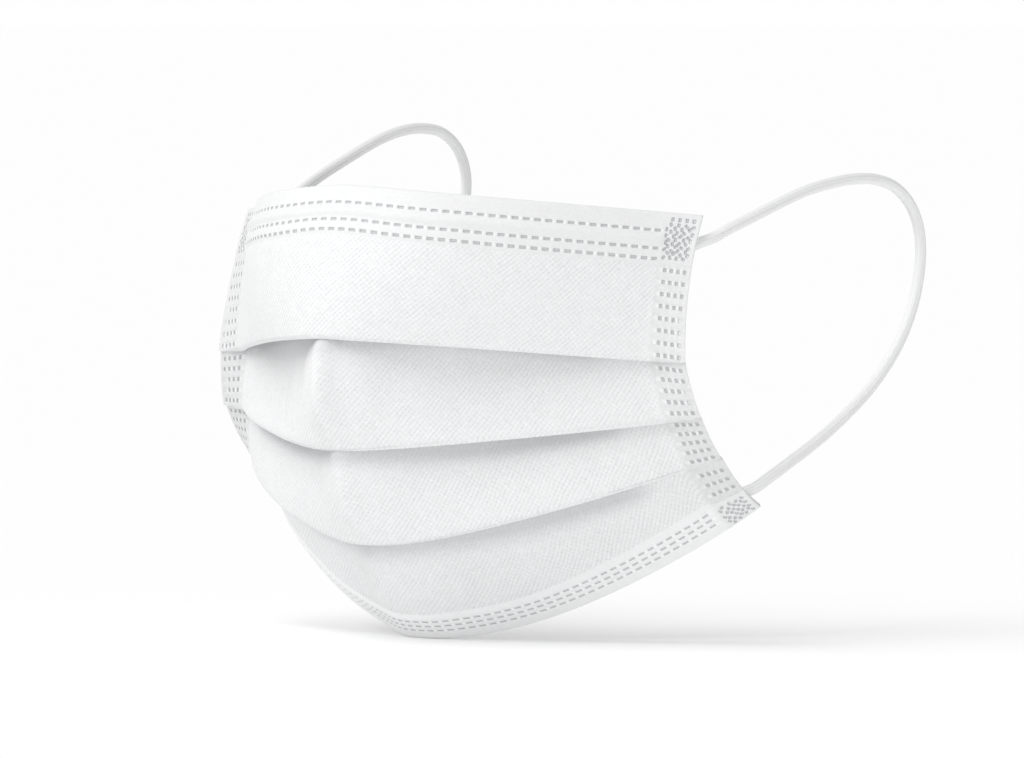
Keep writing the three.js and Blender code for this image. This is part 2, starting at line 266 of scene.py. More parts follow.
@dataclass
class WornShape:
    """The shape that the cloth takes on a face, as sections from the nose edge to the chin edge.

    Stations are shares of the half width, from 0 at the middle to 1 at the side edge. The cheek
    stations say where the pleats begin to stand open, where they are widest open, and where they
    begin to close and are closed. The crest is a narrow ridge down the middle of some panels.
    """

    cloth_width: float = 0.187
    cloth_height: float = 0.147
    face_drop: float = 0.1145
    fold_radius: float = 0.00065
    pleat_depth: float = 0.010
    seat_depth: float = 0.006
    seat_offset: float = 0.0018
    folded_curve: float = 1.6
    waist_curve: float = 6.0
    line_steps: int = 1200
    flare_start: float = 0.88
    edge_flattening: float = 0.75
    crest_width: float = 0.0034
    crest_at_fold: float = 0.5
    crest_rises: float = 0.12
    crest_fades: tuple[float, float] = (0.62, 1.0)
    turn_stations: tuple[float, ...] = (0.0, 0.12, 0.32, 0.62, 0.88, 0.915, 1.0)
    crown_stations: tuple[float, ...] = (0.0, 0.35, 1.0)
    cheek_starts: float = 0.02
    cheek_full: float = 0.2
    cheek_fades: float = 0.42
    cheek_closed: float = 0.97
    lines: tuple[FrontLine, ...] = (
        FrontLine(0.0, 0.0, -0.066, 0.08, (0, 8, 37, 52, 54, 32, 32)),
        FrontLine(0.328, -0.096, -0.056, 0.06, (0, 27, 40, 45, 49, 18, 18)),
        FrontLine(0.578, -0.04, 0.071, 0.06, (0, 28, 37, 40, 50, 20, 20)),
        FrontLine(0.79, 0.081, 0.192, 0.24, (0, 22, 24, 38, 51, 40, 40)),
        FrontLine(1.0, 0.3, 0.293, 0.6, (0, 34, 20, 26, 45, 48, 54)),
    )
    bows: tuple[Bow, ...] = (
        Bow((0.022, 0.03, 0.012), 0.011),
        Bow((0.03, -0.004, 0.004), 0.003, 0.0034),
        Bow((0.022, 0.012, 0.004), 0.002, 0.0026),
        Bow((0.015, 0.02, 0.01), 0.002),
    )
    pleats: tuple[Pleat, ...] = (
        Pleat(1.25, 0.3, 0.12, 0.62),
        Pleat(0.9, 0.2, 0.1, 0.42),
        Pleat(0.85, 0.2, 0.26, 0.46),
    )
    fold_steps: tuple[int, ...] = (5, 5, 5, 4, 4, 4, 3, 4)
    hidden_points: int = 2
    coarse_rows: int = 40
    origin: Array = field(init=False)

    def __post_init__(self) -> None:
        """Sets the origin on the seat at the inner face of the nose hem."""
        self.origin = np.zeros(3)
        middle = self.sections(np.array([0.0]), self.even_rows(self.coarse_rows))
        seat = self.beside(middle, Edge.NOSE, np.array([self.seat_depth]), np.array([-self.seat_offset]))
        self.origin = middle.in_space(seat, np.zeros(3))[0, 0]

    @property
    def half_width(self) -> float:
        """Half the width of the cloth, along a fold line."""
        return self.cloth_width / 2

    def even_rows(self, count: int) -> list[Array]:
        """Returns the given number of even rows for each panel, as shares from 0 to 1."""
        return [np.linspace(0.0, 1.0, count)] * len(self.bows)

    def _trace(self, line: FrontLine, places: Array) -> Array:
        """Follows a line along the cloth.

        Args:
            line: The line.
            places: Stations, without sign.

        Returns:
            Where the line lies there, as x, y and z from the nose edge's middle.
        """
        even = np.linspace(0.0, 1.0, self.line_steps + 1)
        level = np.sqrt(even**2 + line.rounding**2) - line.rounding
        lift = line.lift * self.face_drop * level / level[-1]
        run = self.half_width / self.line_steps
        flat = np.sqrt(np.maximum(run**2 - np.diff(lift) ** 2, 0.0))
        turn = np.radians(np.interp((even[1:] + even[:-1]) / 2, self.turn_stations, line.turn))
        x = np.concatenate([[0.0], np.cumsum(flat * np.cos(turn))])
        y = np.concatenate([[0.0], np.cumsum(flat * np.sin(turn))]) + line.back * self.face_drop
        z = lift - line.drop * self.face_drop
        return np.stack([np.interp(places, even, values) for values in (x, y, z)], axis=-1)

    def _panel(self, start: Array, knee: Array, end: Array, bow: tuple[Array, Array, Array],
               hidden: int, shown: Array) -> Array:
        """Lays a panel from where it starts to just above its fold.

        Args:
            start: Where it starts behind the fold above, sections by three.
            knee: Where it comes out from behind that fold.
            end: Where its own fold begins.
            bow: Its crown, its waist and its crest at each section.
            hidden: How many points lie between start and knee.
            shown: Shares down the part that shows.

        Returns:
            The panel's points, sections by points by three.
        """
        points = [start + (knee - start) * (k / max(hidden, 1)) for k in range(hidden)]
        normal = outward(heading(knee, end))
        for share in shown:
            swell = 4.0 * share * (1.0 - share)
            point = knee + (end - knee) * share + normal * (bow[0] * swell)[:, None]
            point[:, 2] -= bow[1] * swell
            risen = self.crest_at_fold + (1.0 - self.crest_at_fold) * smooth(0.0, self.crest_rises, share)
            point[:, 0] += bow[2] * risen * (1.0 - smooth(*self.crest_fades, share))
            points.append(point)
        return np.stack(points, axis=1)

    def sections(self, places: Array, shares: list[Array]) -> Sections:
        """Folds the cloth at the given stations.

        Args:
            places: Signed shares of the half width, from the right side edge to the left one.
            shares: For each panel, its rows as shares down the part that shows, from 0 to 1.

        Returns:
            The middle of the cloth.
        """
        at = np.abs(places)
        turns = [np.interp(at, self.turn_stations, line.turn) for line in self.lines]
        turn = np.radians(np.mean(turns, axis=0))
        zero = np.zeros_like(turn)
        out = np.stack([np.sin(turn), -np.cos(turn), zero], axis=-1)
        across = np.stack([np.cos(turn), np.sin(turn), zero], axis=-1)
        marks = []
        for line in self.lines:
            point = self._trace(line, at)
            marks.append(np.stack([
                np.sum(point * out, axis=-1), point[:, 2], np.sum(point * across, axis=-1),
            ], axis=-1))
        bows = [
            (np.interp(at, self.crown_stations, bow.crown) * self.face_drop,
             bow.waist * self.face_drop * at**self.waist_curve,
             bow.crest * np.exp(-((at * self.half_width / self.crest_width) ** 2)))
            for bow in self.bows
        ]
        radius = self.fold_radius * (1.0 - self.edge_flattening * smooth(self.flare_start, 1.0, at))
        wide = radius[:, None]
        tip = marks[1] - heading(marks[0], marks[1]) * wide
        control = self._panel(marks[0], marks[0], tip, bows[0], 0, shares[0])
        steps = [1] * (control.shape[1] - 1)
        panel_of = [0] * len(shares[0])
        share_of = list(shares[0])
        for index, pleat in enumerate(self.pleats):
            kept = (pleat.folded + (pleat.depth - pleat.folded) * at**self.folded_curve) * self.pleat_depth
            cheek = smooth(self.cheek_starts, self.cheek_full, at)
            cheek = cheek * (1.0 - smooth(self.cheek_fades, self.cheek_closed, at))
            middle = 1.0 - smooth(0.0, self.cheek_full, at)
            gap = (pleat.open_cheek * cheek + pleat.open_middle * middle) * self.pleat_depth
            lap = np.maximum(kept - radius, radius)
            runs = run_lengths(control)
            fold = control[:, -1]
            down = heading(control[:, -2], fold)
            span = runs[:, -1]
            near = self.fold_radius / 2

            def back_from_fold(length: Array) -> tuple[Array, Array]:
                """Goes back up the cloth from the fold.

                Args:
                    length: How far to go, for each section.

                Returns:
                    The point there and the direction down the cloth.
                """
                spot = point_along(control, runs, span - length)
                above = point_along(control, runs, span - length - near)
                below = point_along(control, runs, span - length + near)
                return spot, heading(above, below)

            half, half_down = back_from_fold(lap / 2)
            top, top_down = back_from_fold(lap)
            half_top = half - outward(half_down) * (2 * radius + gap / 2)[:, None]
            inner = top - outward(top_down) * (2 * radius + gap)[:, None]
            over = inner - top_down * wide - outward(top_down) * wide
            start = inner - outward(top_down) * 2 * wide
            under = fold + down * wide - outward(down) * wide
            turned = fold - outward(down) * 2 * wide
            knee = fold - outward(down) * (4 * radius + gap)[:, None]
            last = index == len(self.pleats) - 1
            tip = marks[index + 2] - heading(knee, marks[index + 2]) * (0.0 if last else wide)
            panel = self._panel(start, knee, tip, bows[index + 1], self.hidden_points, shares[index + 1])
            turn_rows = np.stack([under, turned, half_top, inner, over], axis=1)
            steps += list(self.fold_steps) + [1] * (len(shares[index + 1]) - 1)
            panel_of += [-1] * (sum(self.fold_steps) - 1) + [index + 1] * len(shares[index + 1])
            share_of += [-1.0] * (sum(self.fold_steps) - 1) + list(shares[index + 1])
            control = np.concatenate([control, turn_rows, panel], axis=1)
        path = self._rounded(control, steps)
        return Sections(places, out, across, path, np.array(panel_of), np.array(share_of))

    @staticmethod
    def _rounded(control: Array, steps: list[int]) -> Array:
        """Rounds the folds of a path.

        Args:
            control: The path's control points, sections by points by three.
            steps: Into how many steps each stretch is divided. One step keeps it straight.

        Returns:
            The rounded path.
        """
        last = control.shape[1] - 1
        rows = []
        for k, count in enumerate(steps):
            if count == 1:
                rows.append(control[:, k:k + 1])
                continue
            before = control[:, k - 1]
            after = control[:, k + 2] if k + 2 <= last else 2 * control[:, k + 1] - control[:, k]
            rows.append(spline_between(before, control[:, k], control[:, k + 1], after, count))
        rows.append(control[:, last:])
        return np.concatenate(rows, axis=1)

    def beside(self, sections: Sections, edge: Edge, depths: Array, offsets: Array) -> Array:
        """Finds points beside the panel, at distances from one of its edges.

        Args:
            sections: The middle of the cloth.
            edge: The edge that the depths are counted from.
            depths: Distances from the edge along the cloth.
            offsets: Distances from the middle of the cloth, outwards; one for each depth, or
                sections by depths.

        Returns:
            The points, sections by depths by three.
        """
        panel = 0 if edge is Edge.NOSE else len(self.bows) - 1
        rows = np.flatnonzero(sections.panel_of == panel)
        path = sections.path[:, rows]
        if edge is Edge.CHIN:
            path = path[:, ::-1]
        runs = run_lengths(path)
        near = self.fold_radius
        offsets = np.broadcast_to(offsets, (len(path), len(depths)))
        points = []
        for k, depth in enumerate(depths):
            spot = point_along(path, runs, depth)
            above = point_along(path, runs, max(depth - near, 0.0))
            ahead = heading(above, point_along(path, runs, depth + near))
            down = ahead if edge is Edge.NOSE else -ahead
            points.append(spot + outward(down) * offsets[:, k:k + 1])
        return np.stack(points, axis=1)


def both_faces(path: Array, half_front: Array, half_back: Array) -> tuple[Array, Array]:
    """Gives a sheet its two faces, with mitred corners.

    Args:
        path: The sheet's middle, sections by points by three.
        half_front: How far the front lies from the path, sections by points.
        half_back: The same for the back.

    Returns:
        The points of the front and of the back.
    """
    step = heading(path[:, :-1], path[:, 1:])
    before = outward(np.concatenate([step[:, :1], step], axis=1))
    after = outward(np.concatenate([step, step[:, -1:]], axis=1))
    normal = before + after
    normal = normal / np.maximum(np.linalg.norm(normal, axis=-1, keepdims=True), SMALLEST_LENGTH)
    cosine = np.maximum(np.sum(normal * before, axis=-1, keepdims=True), SHARPEST_CORNER)
    return path + normal * half_front[..., None] / cosine, path - normal * half_back[..., None] / cosine


def linked(name: str, data: bpy.types.ID) -> bpy.types.Object:
    """Makes an object of a mesh, a lamp or a camera and links it to the scene.

    Args:
        name: The object's name.
        data: What it shows.

    Returns:
        The object.
    """
    made = bpy.data.objects.new(name, data)
    bpy.context.scene.collection.objects.link(made)
    return made


def rounded_mesh(name: str, points: Array, faces: list[list[int]], layer: str, uv: Array) -> bpy.types.Mesh:
    """Makes a mesh with smooth shading and one UV layer.

    Args:
        name: The mesh's name.
        points: Its points, in metres.
        faces: Its faces, as indices of the points.
        layer: The name of the UV layer.
        uv: The place of each point in that layer, in millimetres.

    Returns:
        The mesh.
    """
    mesh = bpy.data.meshes.new(name)
    mesh.from_pydata(points.tolist(), [], faces)
    corners = np.array([corner for face in faces for corner in face])
    mesh.uv_layers.new(name=layer).data.foreach_set("uv", uv[corners].astype(np.float32).ravel())
    mesh.polygons.foreach_set("use_smooth", np.ones(len(faces), bool))
    return mesh


def sheet_piece(name: str, front: Array, back: Array, uv: Array, pressed: Array,
                front_shade: float | Array = 0.0) -> bpy.types.Object:
    """Builds a closed sheet from its two faces.

    Args:
        name: The piece's name.
        front: Sections by rows by three, in the part's frame.
        back: The same for the back.
        uv: Sections by rows by two, in millimetres along the cloth.
        pressed: How far each point is pressed by a weld: 1 on the floor of a mark, and below 0 where the
            cloth is raised between marks, which is also drawn lighter as a painted highlight.
        front_shade: Painted shade, added to it on the front where a fold lies in the shade.

    Returns:
        The new piece.
    """
    stations, rows = front.shape[:2]
    count = stations * rows
    index = np.arange(count).reshape(stations, rows)
    quads = np.stack([index[:-1, :-1], index[:-1, 1:], index[1:, 1:], index[1:, :-1]], axis=-1).reshape(-1, 4)
    faces = [quads, quads[:, ::-1] + count]
    for rim in (index[0], index[:, -1], index[-1, ::-1], index[::-1, 0]):
        faces.append(np.stack([rim[1:], rim[:-1], rim[:-1] + count, rim[1:] + count], axis=-1))
    points = np.concatenate([front.reshape(-1, 3), back.reshape(-1, 3)])
    both_uv = np.tile(uv.reshape(-1, 2), (2, 1))
    mesh = rounded_mesh(name, points, np.concatenate(faces).tolist(), "cloth", both_uv)
    # The weld values carry the welds, the painted highlight between marks and, on the front, the painted
    # shade of the folds.
    weld = mesh.attributes.new("weld", "FLOAT", "POINT")
    both = np.concatenate([(pressed + front_shade).reshape(-1), pressed.reshape(-1)])
    weld.data.foreach_set("value", both.astype(np.float32))
    mesh.validate()
    mesh.update()
    return linked(name, mesh)


def mark_lines(centres: Array, half: float, rim: float) -> Array:
    """Returns the grid lines that a row of weld marks needs: both ends of each floor and wall."""
    return np.concatenate([np.asarray(centres) + shift for shift in (-half - rim, -half, half, half + rim)])


def merged(*parts: Array, closest: float = CLOSEST_LINES) -> Array:
    """Merges several lists of places.

    Args:
        parts: The lists.
        closest: Of two places no further apart than this, only the first is kept.

    Returns:
        The places in order.
    """
    values = np.unique(np.concatenate([np.atleast_1d(part) for part in parts]))
    kept = [values[0]]
    for value in values[1:]:
        if value - kept[-1] > closest:
            kept.append(value)
    return np.array(kept)


def clear_of(even: Array, lines: Array, gap: float) -> Array:
    """Returns the lines together with the even places that lie further than gap from them."""
    away = np.abs(np.asarray(even)[:, None] - np.asarray(lines)[None, :]).min(axis=1)
    return np.unique(np.concatenate([lines, np.asarray(even)[away > gap]]))


def both_sides(one_side: Array) -> Array:
    """Returns the signed stations of the whole mask from those of one side, which start at 0."""
    return np.concatenate([-one_side[::-1], one_side[1:]])


def dress(piece: bpy.types.Object, material: bpy.types.Material, slot: str, *nodes: str) -> None:
    """Gives a piece its finish and its place in the frame, and reports it.

    Args:
        piece: The new piece.
        material: Its material.
        slot: The record's material slot; not used.
        nodes: The CAD nodes that it stands for.
    """
    piece.data.materials.append(material)
    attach(piece, BODY)
    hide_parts(*nodes)
    LOG.info("%s: %d faces", piece.name, len(piece.data.polygons))


@dataclass(frozen=True)
class WeldMark:
    """One kind of weld mark: its size across and down, the width of its walls and its depth."""

    across: float
    down: float
    wall: float
    depth: float

    def mask(self, x: Array, y: Array, turn: float = 0.0) -> Array:
        """Presses one mark at the origin.

        Args:
            x: Distances from its middle across the mask.
            y: Distances from its middle down the cloth.
            turn: How far the mark is turned, in radians.

        Returns:
            1 on the floor of the mark and 0 outside its walls.
        """
        c, s = math.cos(turn), math.sin(turn)
        along, beside = x * c + y * s, y * c - x * s
        inside_x = 1.0 - smooth(self.across / 2, self.across / 2 + self.wall, np.abs(along))
        inside_y = 1.0 - smooth(self.down / 2, self.down / 2 + self.wall, np.abs(beside))
        return inside_x * inside_y

    def bridge(self, x: Array, y: Array, pitch: float) -> Array:
        """Marks the cloth between the marks of a row along x, which is raised and drawn lighter as a painted
        highlight.

        Args:
            x: Distances from the middle of the nearest mark across the mask.
            y: The same down the cloth.
            pitch: The distance from mark to mark.

        Returns:
            1 midway between two marks and 0 beside the row.
        """
        aside = np.abs(pitch / 2 - np.abs(x))
        between = 1.0 - smooth(0.0, (pitch - self.across) / 2 - self.wall, aside)
        return between * (1.0 - smooth(self.down / 2, self.down / 2 + self.wall, np.abs(y)))


def nearest_offset(values: Array, centres: Array) -> Array:
    """Returns the distance of each value to the nearest of the centres, with its sign."""
    gaps = np.asarray(values)[..., None] - np.asarray(centres)
    return np.take_along_axis(gaps, np.abs(gaps).argmin(axis=-1)[..., None], axis=-1)[..., 0]


@dataclass
class SideBand:
    """The welded band along each side edge: four columns of square dots.

    bridge is how far the cloth between two dots counts as raised, both for its real rise and for the painted
    highlight that draws it lighter, and bridge_share how much of that it really rises, both as shares of a
    dot's depth. edge_thinning is how much thinner the cloth gets towards the edge.
    """

    width: float = 0.0092
    first_column: float = 0.0017
    column_pitch: float = 0.0018
    columns: int = 4
    dot: WeldMark = WeldMark(across=0.00052, down=0.00068, wall=0.00028, depth=0.0003)
    bridge: float = 0.7
    bridge_share: float = 0.3
    edge_thinning: float = 0.7
    rows: tuple[WeldRows, ...] = (
        WeldRows(0.0009, 0.00309, 8),
        WeldRows(0.0015, 0.00278, 5),
        WeldRows(0.0014, 0.0027, 5),
        WeldRows(0.0078, 0.0029, 4),
    )

    @property
    def column_places(self) -> Array:
        """Distances of the columns from the side edge."""
        return self.first_column + self.column_pitch * np.arange(self.columns)

    @property
    def bridge_places(self) -> Array:
        """Distances of the raised strips beside the columns from the side edge."""
        return self.first_column + self.column_pitch * (np.arange(self.columns) + 0.5)

    def row_places(self, panel: int) -> Array:
        """Distances of a panel's rows from its lower line."""
        rows = self.rows[panel]
        return rows.first + rows.pitch * np.arange(rows.count)


@dataclass(frozen=True)
class LipShade:
    """The painted shade on a panel under the lip of the fold above, drawn in the weld film's grey.

    start and reach are the lengths down the cloth where it begins to fade and over which it fades.
    """

    start: float
    reach: float
    strength: float


@dataclass
class PleatedPanel:
    """The main cloth: four panels between three pleats, with a welded band at each side.

    side_lengths holds how long each panel is at the side edge, from one fold to the next. The
    insets are how far the cloth's own edges, and the layers inside a fold, end short of the rim.
    """

    shape: WornShape
    band: SideBand
    wall: float = 0.0008
    edge_inset: float = 0.0008
    tuck_inset: float = 0.001
    # tuck_shade, shade_rows, lip_shades and lip_ends paint shade inside the folds and under each fold's lip:
    # painted shade, added to the front's weld values.
    tuck_shade: float = 0.42
    shade_rows: tuple[float, float] = (4.0, 8.0)
    lip_shades: tuple[LipShade, ...] = (
        LipShade(0.0012, 0.004, 0.95),
        LipShade(0.0018, 0.0038, 1.0),
        LipShade(0.0029, 0.0055, 1.05),
    )
    lip_ends: tuple[float, float] = (0.7, 0.92)
    column_step: float = 0.0016
    crest_step: float = 0.0004
    crest_reach: float = 0.0072
    row_step: float = 0.0013
    side_lengths: tuple[float, ...] = (0.0376, 0.0149, 0.014, 0.020)
    rim_line: float = 0.0002
    end_share: float = 0.001
    dot_clearance: float = 0.006
    closest_rows: float = 0.0005
    inset_limit: float = 0.9
    tuck_reach: float = 0.003

    def stations(self) -> Array:
        """Places the stations, with lines on both ends of every weld dot and close ones on the crest.

        Returns:
            The signed stations.
        """
        half = self.shape.half_width
        band_lines = mark_lines(self.band.column_places, self.band.dot.across / 2, self.band.dot.wall)
        edge = merged(band_lines, self.band.bridge_places, [0.0, self.rim_line, self.band.width])
        middle = even_steps(0.0, half - self.band.width, self.column_step)
        crest = even_steps(0.0, self.crest_reach, self.crest_step)
        return both_sides(merged(middle[middle > self.crest_reach], crest, half - edge) / half)

    def shares(self) -> list[Array]:
        """Places the rows of each panel.

        Returns:
            For each panel, its rows as shares down the part that shows.
        """
        rows = []
        for panel, length in enumerate(self.side_lengths):
            even = even_steps(0.0, 1.0, self.row_step / length)
            dots = mark_lines(self.band.row_places(panel), self.band.dot.down / 2, self.band.dot.wall)
            dots = 1.0 - dots / length
            dots = dots[(dots > self.end_share) & (dots < 1.0 - self.end_share)]
            inside = clear_of(even[1:-1], dots, self.dot_clearance)
            rows.append(merged([0.0, 1.0], inside, closest=self.closest_rows))
        return rows

    def build(self) -> bpy.types.Object:
        """Builds the cloth with its pressed dots.

        Returns:
            The piece pleated_cloth.
        """
        sections = self.shape.sections(self.stations(), self.shares())
        path = sections.path.copy()
        runs = run_lengths(path)
        for end, inner in ((0, 1), (-1, -2)):
            step = path[:, inner] - path[:, end]
            size = np.linalg.norm(step[:, :2], axis=-1, keepdims=True)
            path[:, end] += step * np.minimum(self.edge_inset / size, self.inset_limit)
        from_edge = (1.0 - np.abs(sections.places)) * self.shape.half_width
        tucked = (sections.panel_of < 0).astype(float)[None, :]
        near_edge = 1.0 - smooth(0.0, self.tuck_reach, from_edge)
        path[..., 2] -= self.tuck_inset * near_edge[:, None] * tucked
        pressed = self._pressed(sections, from_edge)
        thin = 1.0 - self.band.edge_thinning * (1.0 - smooth(0.0, self.band.width, from_edge))
        half = np.broadcast_to((self.wall / 2 * thin)[:, None], pressed.shape)
        sunk = np.maximum(pressed, pressed * self.band.bridge_share) * self.band.dot.depth
        front, back = both_faces(path, half - sunk, half)
        signed = sections.places * self.shape.half_width
        down = self._down_cloth(sections, runs)
        uv = np.stack([np.broadcast_to(signed[:, None], runs.shape), down], axis=-1) * UV_PER_METRE
        origin = self.shape.origin
        return sheet_piece(
            "pleated_cloth", sections.in_space(front, origin), sections.in_space(back, origin), uv, pressed,
            # Painted shade inside the folds and under their lips.
            self.tuck_shade * self._into_folds(sections),
        )

    def dress(self, panel: bpy.types.Object, material: bpy.types.Material) -> None:
        """Dresses the panel in the embossed cloth."""
        dress(panel, material, "embossed_cloth", "pleated_panel")

    def _into_folds(self, sections: Sections) -> Array:
        """Paints shade into the folds and under their lips.

        Args:
            sections: The middle of the cloth.

        Returns:
            Sections by rows of painted shade: 1 inside a fold, and fading out on the panel below the fold's
                lip.
        """
        since = np.zeros(len(sections.panel_of))
        for row in range(1, len(since)):
            since[row] = since[row - 1] + 1.0 if sections.panel_of[row] < 0 else 0.0
        shade = np.tile(smooth(*self.shade_rows, since), (len(sections.places), 1))
        inner = 1.0 - smooth(*self.lip_ends, np.abs(sections.places))
        for panel, lip in enumerate(self.lip_shades, start=1):
            rows = np.flatnonzero(sections.panel_of == panel)
            below = sections.share_of[rows] * self.side_lengths[panel]
            fading = lip.strength * np.clip((lip.start + lip.reach - below) / lip.reach, 0.0, 1.0)
            shade[:, rows] = inner[:, None] * fading[None, :]
        return shade

    @staticmethod
    def _down_cloth(sections: Sections, runs: Array) -> Array:
        """Measures down the cloth, counted so that every fold line is straight.

        Args:
            sections: The middle of the cloth.
            runs: The length of each section's path up to each of its points.

        Returns:
            How far down the cloth each point lies, sections by rows.
        """
        down = np.empty_like(runs)
        first = 0
        for panel in np.unique(sections.panel_of[sections.panel_of >= 0]):
            last = np.flatnonzero(sections.panel_of == panel)[-1]
            fold = runs[:, last:last + 1]
            down[:, first:last + 1] = np.median(fold) + runs[:, first:last + 1] - fold
            first = last + 1
        return down

    def _pressed(self, sections: Sections, from_edge: Array) -> Array:
        """Presses the dots of the side bands.

        Args:
            sections: The middle of the cloth.
            from_edge: Each section's distance from its side edge.

        Returns:
            How far each point is pressed, sections by rows.
        """
        across = nearest_offset(from_edge, self.band.column_places)
        pressed = np.zeros(sections.path.shape[:2])
        for panel, length in enumerate(self.side_lengths):
            rows = np.flatnonzero(sections.panel_of == panel)
            from_line = (1.0 - sections.share_of[rows]) * length
            down = nearest_offset(from_line, self.band.row_places(panel))
            raised = self.band.dot.bridge(across[:, None], down[None, :], self.band.column_pitch)
            inside = (from_edge > self.band.first_column) & (from_edge < self.band.width)
            raised = raised * inside[:, None]
            # The raised strips between dots go in below 0; the finish draws them lighter as a painted
            # highlight.
            pressed[:, rows] = self.band.dot.mask(across[:, None], down[None, :]) - self.band.bridge * raised
        return pressed


@dataclass(frozen=True)
class CornerPatch:
    """The cluster of tilted marks that welds a loop's end, counted from the mask's corner."""

    near_side: float
    far_side: float
    near_edge: float
    far_edge: float
    pitch: float
    mark: WeldMark
    seed: int
    jitter: float = 0.0002
    lean: float = math.pi / 3
    lean_jitter: float = 0.6

    def marks(self, side: Side) -> list[tuple[float, float, float]]:
        """Scatters the marks of one corner.

        Args:
            side: The side that the corner is on.

        Returns:
            Each mark's distance from the side edge and from the hem's edge, and its turn.
        """
        scatter = np.random.default_rng(self.seed + side.value)
        found = []
        rows = int((self.far_edge - self.near_edge) / self.pitch * 2) + 1
        for row in range(rows):
            down = self.near_edge + row * self.pitch / 2
            start = self.near_side + (row % 2) * self.pitch / 2
            for across in np.arange(start, self.far_side, self.pitch):
                nudge = scatter.uniform(-self.jitter, self.jitter, 2)
                way = 1 if (row + round(across / self.pitch)) % 2 else -1
                turn = way * (self.lean + scatter.uniform(-self.lean_jitter, self.lean_jitter))
                found.append((float(across + nudge[0]), float(down + nudge[1]), float(turn)))
        return found


@dataclass
class Hem:
    """A strip of smooth cloth folded over one edge of the panel, with its rows of welded dashes.

    depth is how far it reaches over the front, returned how far over the back. channel holds where
    the raised channel begins and ends, and top_dots where the side band's dots go on over the hem.
    """

    shape: WornShape
    band: SideBand
    name: str
    node: str
    edge: Edge
    depth: float
    returned: float
    dash_rows: tuple[float, ...]
    dash: WeldMark
    dash_pitch: float
    patch: CornerPatch
    channel: tuple[float, float] | None = None
    channel_rise: float = 0.0
    channel_roundness: float = 1.5
    channel_fades: tuple[float, float] = (0.004, 0.012)
    wall: float = 0.0004
    offset: float = 0.00066
    taper: float = 0.0018
    taper_sink: float = 0.46
    taper_thinning: float = 0.9
    # bridge: how far the cloth between dashes counts as raised, for its rise and for its painted highlight.
    bridge: float = 0.5
    band_overlap: float = 0.9
    fine_step: float = 0.0002
    fine_clearance: float = 0.7
    closest_rows: float = 6e-5
    section_rows: int = 50
    turn_rows: int = 7
    back_rows: int = 9
    top_dots: float | None = None

    def stations(self) -> Array:
        """Places the stations, close together over the side bands and on both ends of each dash.

        Returns:
            The signed stations.
        """
        half = self.shape.half_width
        inner = half - self.band.width
        fine = even_steps(inner, half, self.fine_step)
        dashes = mark_lines(self.dash_centres(), self.dash.across / 2, self.dash.wall)
        dashes = np.concatenate([dashes, self.dash_centres() + self.dash_pitch / 2])
        dashes = dashes[(dashes > 0.0) & (dashes < inner)]
        return both_sides(merged([0.0], dashes, fine) / half)

    def dash_centres(self) -> Array:
        """Places the dashes.

        Returns:
            Their places along the hem, in both directions from the middle.
        """
        inner = self.shape.half_width - self.band.width - self.dash.across / 2
        count = int(inner / self.dash_pitch)
        return self.dash_pitch * np.arange(-count, count + 1)

    def front_depths(self) -> Array:
        """Places the rows of the front leg.

        Returns:
            Their distances from the hem's edge, from the free edge to where the leg turns over.
        """
        lines = mark_lines(np.array(self.dash_rows), self.dash.down / 2, self.dash.wall)
        fine = np.arange(self.offset, self.depth, self.fine_step)
        inside = clear_of(fine, lines, self.fine_step * self.fine_clearance)
        return merged([self.offset, self.depth], inside, closest=self.closest_rows)[::-1]

    def build(self) -> bpy.types.Object:
        """Builds the hem with its channel, dashes and corner patches.

        Returns:
            The new piece.
        """
        sections = self.shape.sections(self.stations(), self.shape.even_rows(self.section_rows))
        front_rows = self.front_depths()
        turn = np.linspace(0.0, np.pi, self.turn_rows + 2)[1:-1]
        back_rows = np.linspace(self.offset, self.returned, self.back_rows)
        depths = np.concatenate([front_rows, self.offset - self.offset * np.sin(turn), back_rows])
        lie = np.concatenate([np.ones(len(front_rows)), np.cos(turn), -np.ones(len(back_rows))])
        on_front = np.where(np.arange(len(lie)) < len(front_rows), 1.0, 0.0)
        from_edge = (1.0 - np.abs(sections.places)) * self.shape.half_width
        thin = 1.0 - self.band.edge_thinning * (1.0 - smooth(0.0, self.band.width, from_edge))
        settled = smooth(self.depth - self.taper, self.depth, depths) * on_front
        offsets = self.offset * thin[:, None] * (lie * (1.0 - self.taper_sink * settled))[None, :]
        rise = self._rise(depths)[None, :] * on_front * smooth(*self.channel_fades, from_edge)[:, None]
        path = self.shape.beside(sections, self.edge, depths, offsets + rise)
        if self.edge is Edge.CHIN:
            path = path[:, ::-1]
            on_front, depths, settled = on_front[::-1], depths[::-1], settled[::-1]
        pressed = self._pressed(sections, from_edge, depths) * on_front
        half = np.broadcast_to(self.wall / 2 * (1.0 - self.taper_thinning * settled), pressed.shape)
        inner, outer = both_faces(path, half, half)
        inwards = inner - outer
        inwards = inwards / np.maximum(np.linalg.norm(inwards, axis=-1, keepdims=True), SMALLEST_LENGTH)
        sunk = np.maximum(pressed, pressed * self.band.bridge_share) * self.dash.depth
        outer = outer + inwards * sunk[..., None]
        signed = sections.places * self.shape.half_width
        uv = np.stack(np.broadcast_arrays(signed[:, None], run_lengths(path)), axis=-1) * UV_PER_METRE
        origin = self.shape.origin
        return sheet_piece(
            self.name, sections.in_space(inner, origin), sections.in_space(outer, origin), uv, pressed,
        )

    def dress(self, hem: bpy.types.Object, material: bpy.types.Material) -> None:
        """Dresses the hem in the smooth cloth."""
        dress(hem, material, "smooth_cloth", self.node)

    def _rise(self, depths: Array) -> Array:
        """Raises the channel.

        Args:
            depths: Distances from the hem's edge.

        Returns:
            How far the channel lifts the front leg at each of them.
        """
        if self.channel is None:
            return np.zeros_like(depths)
        start, end = self.channel
        share = np.clip((depths - start) / (end - start), 0.0, 1.0)
        return self.channel_rise * np.sin(np.pi * share) ** self.channel_roundness

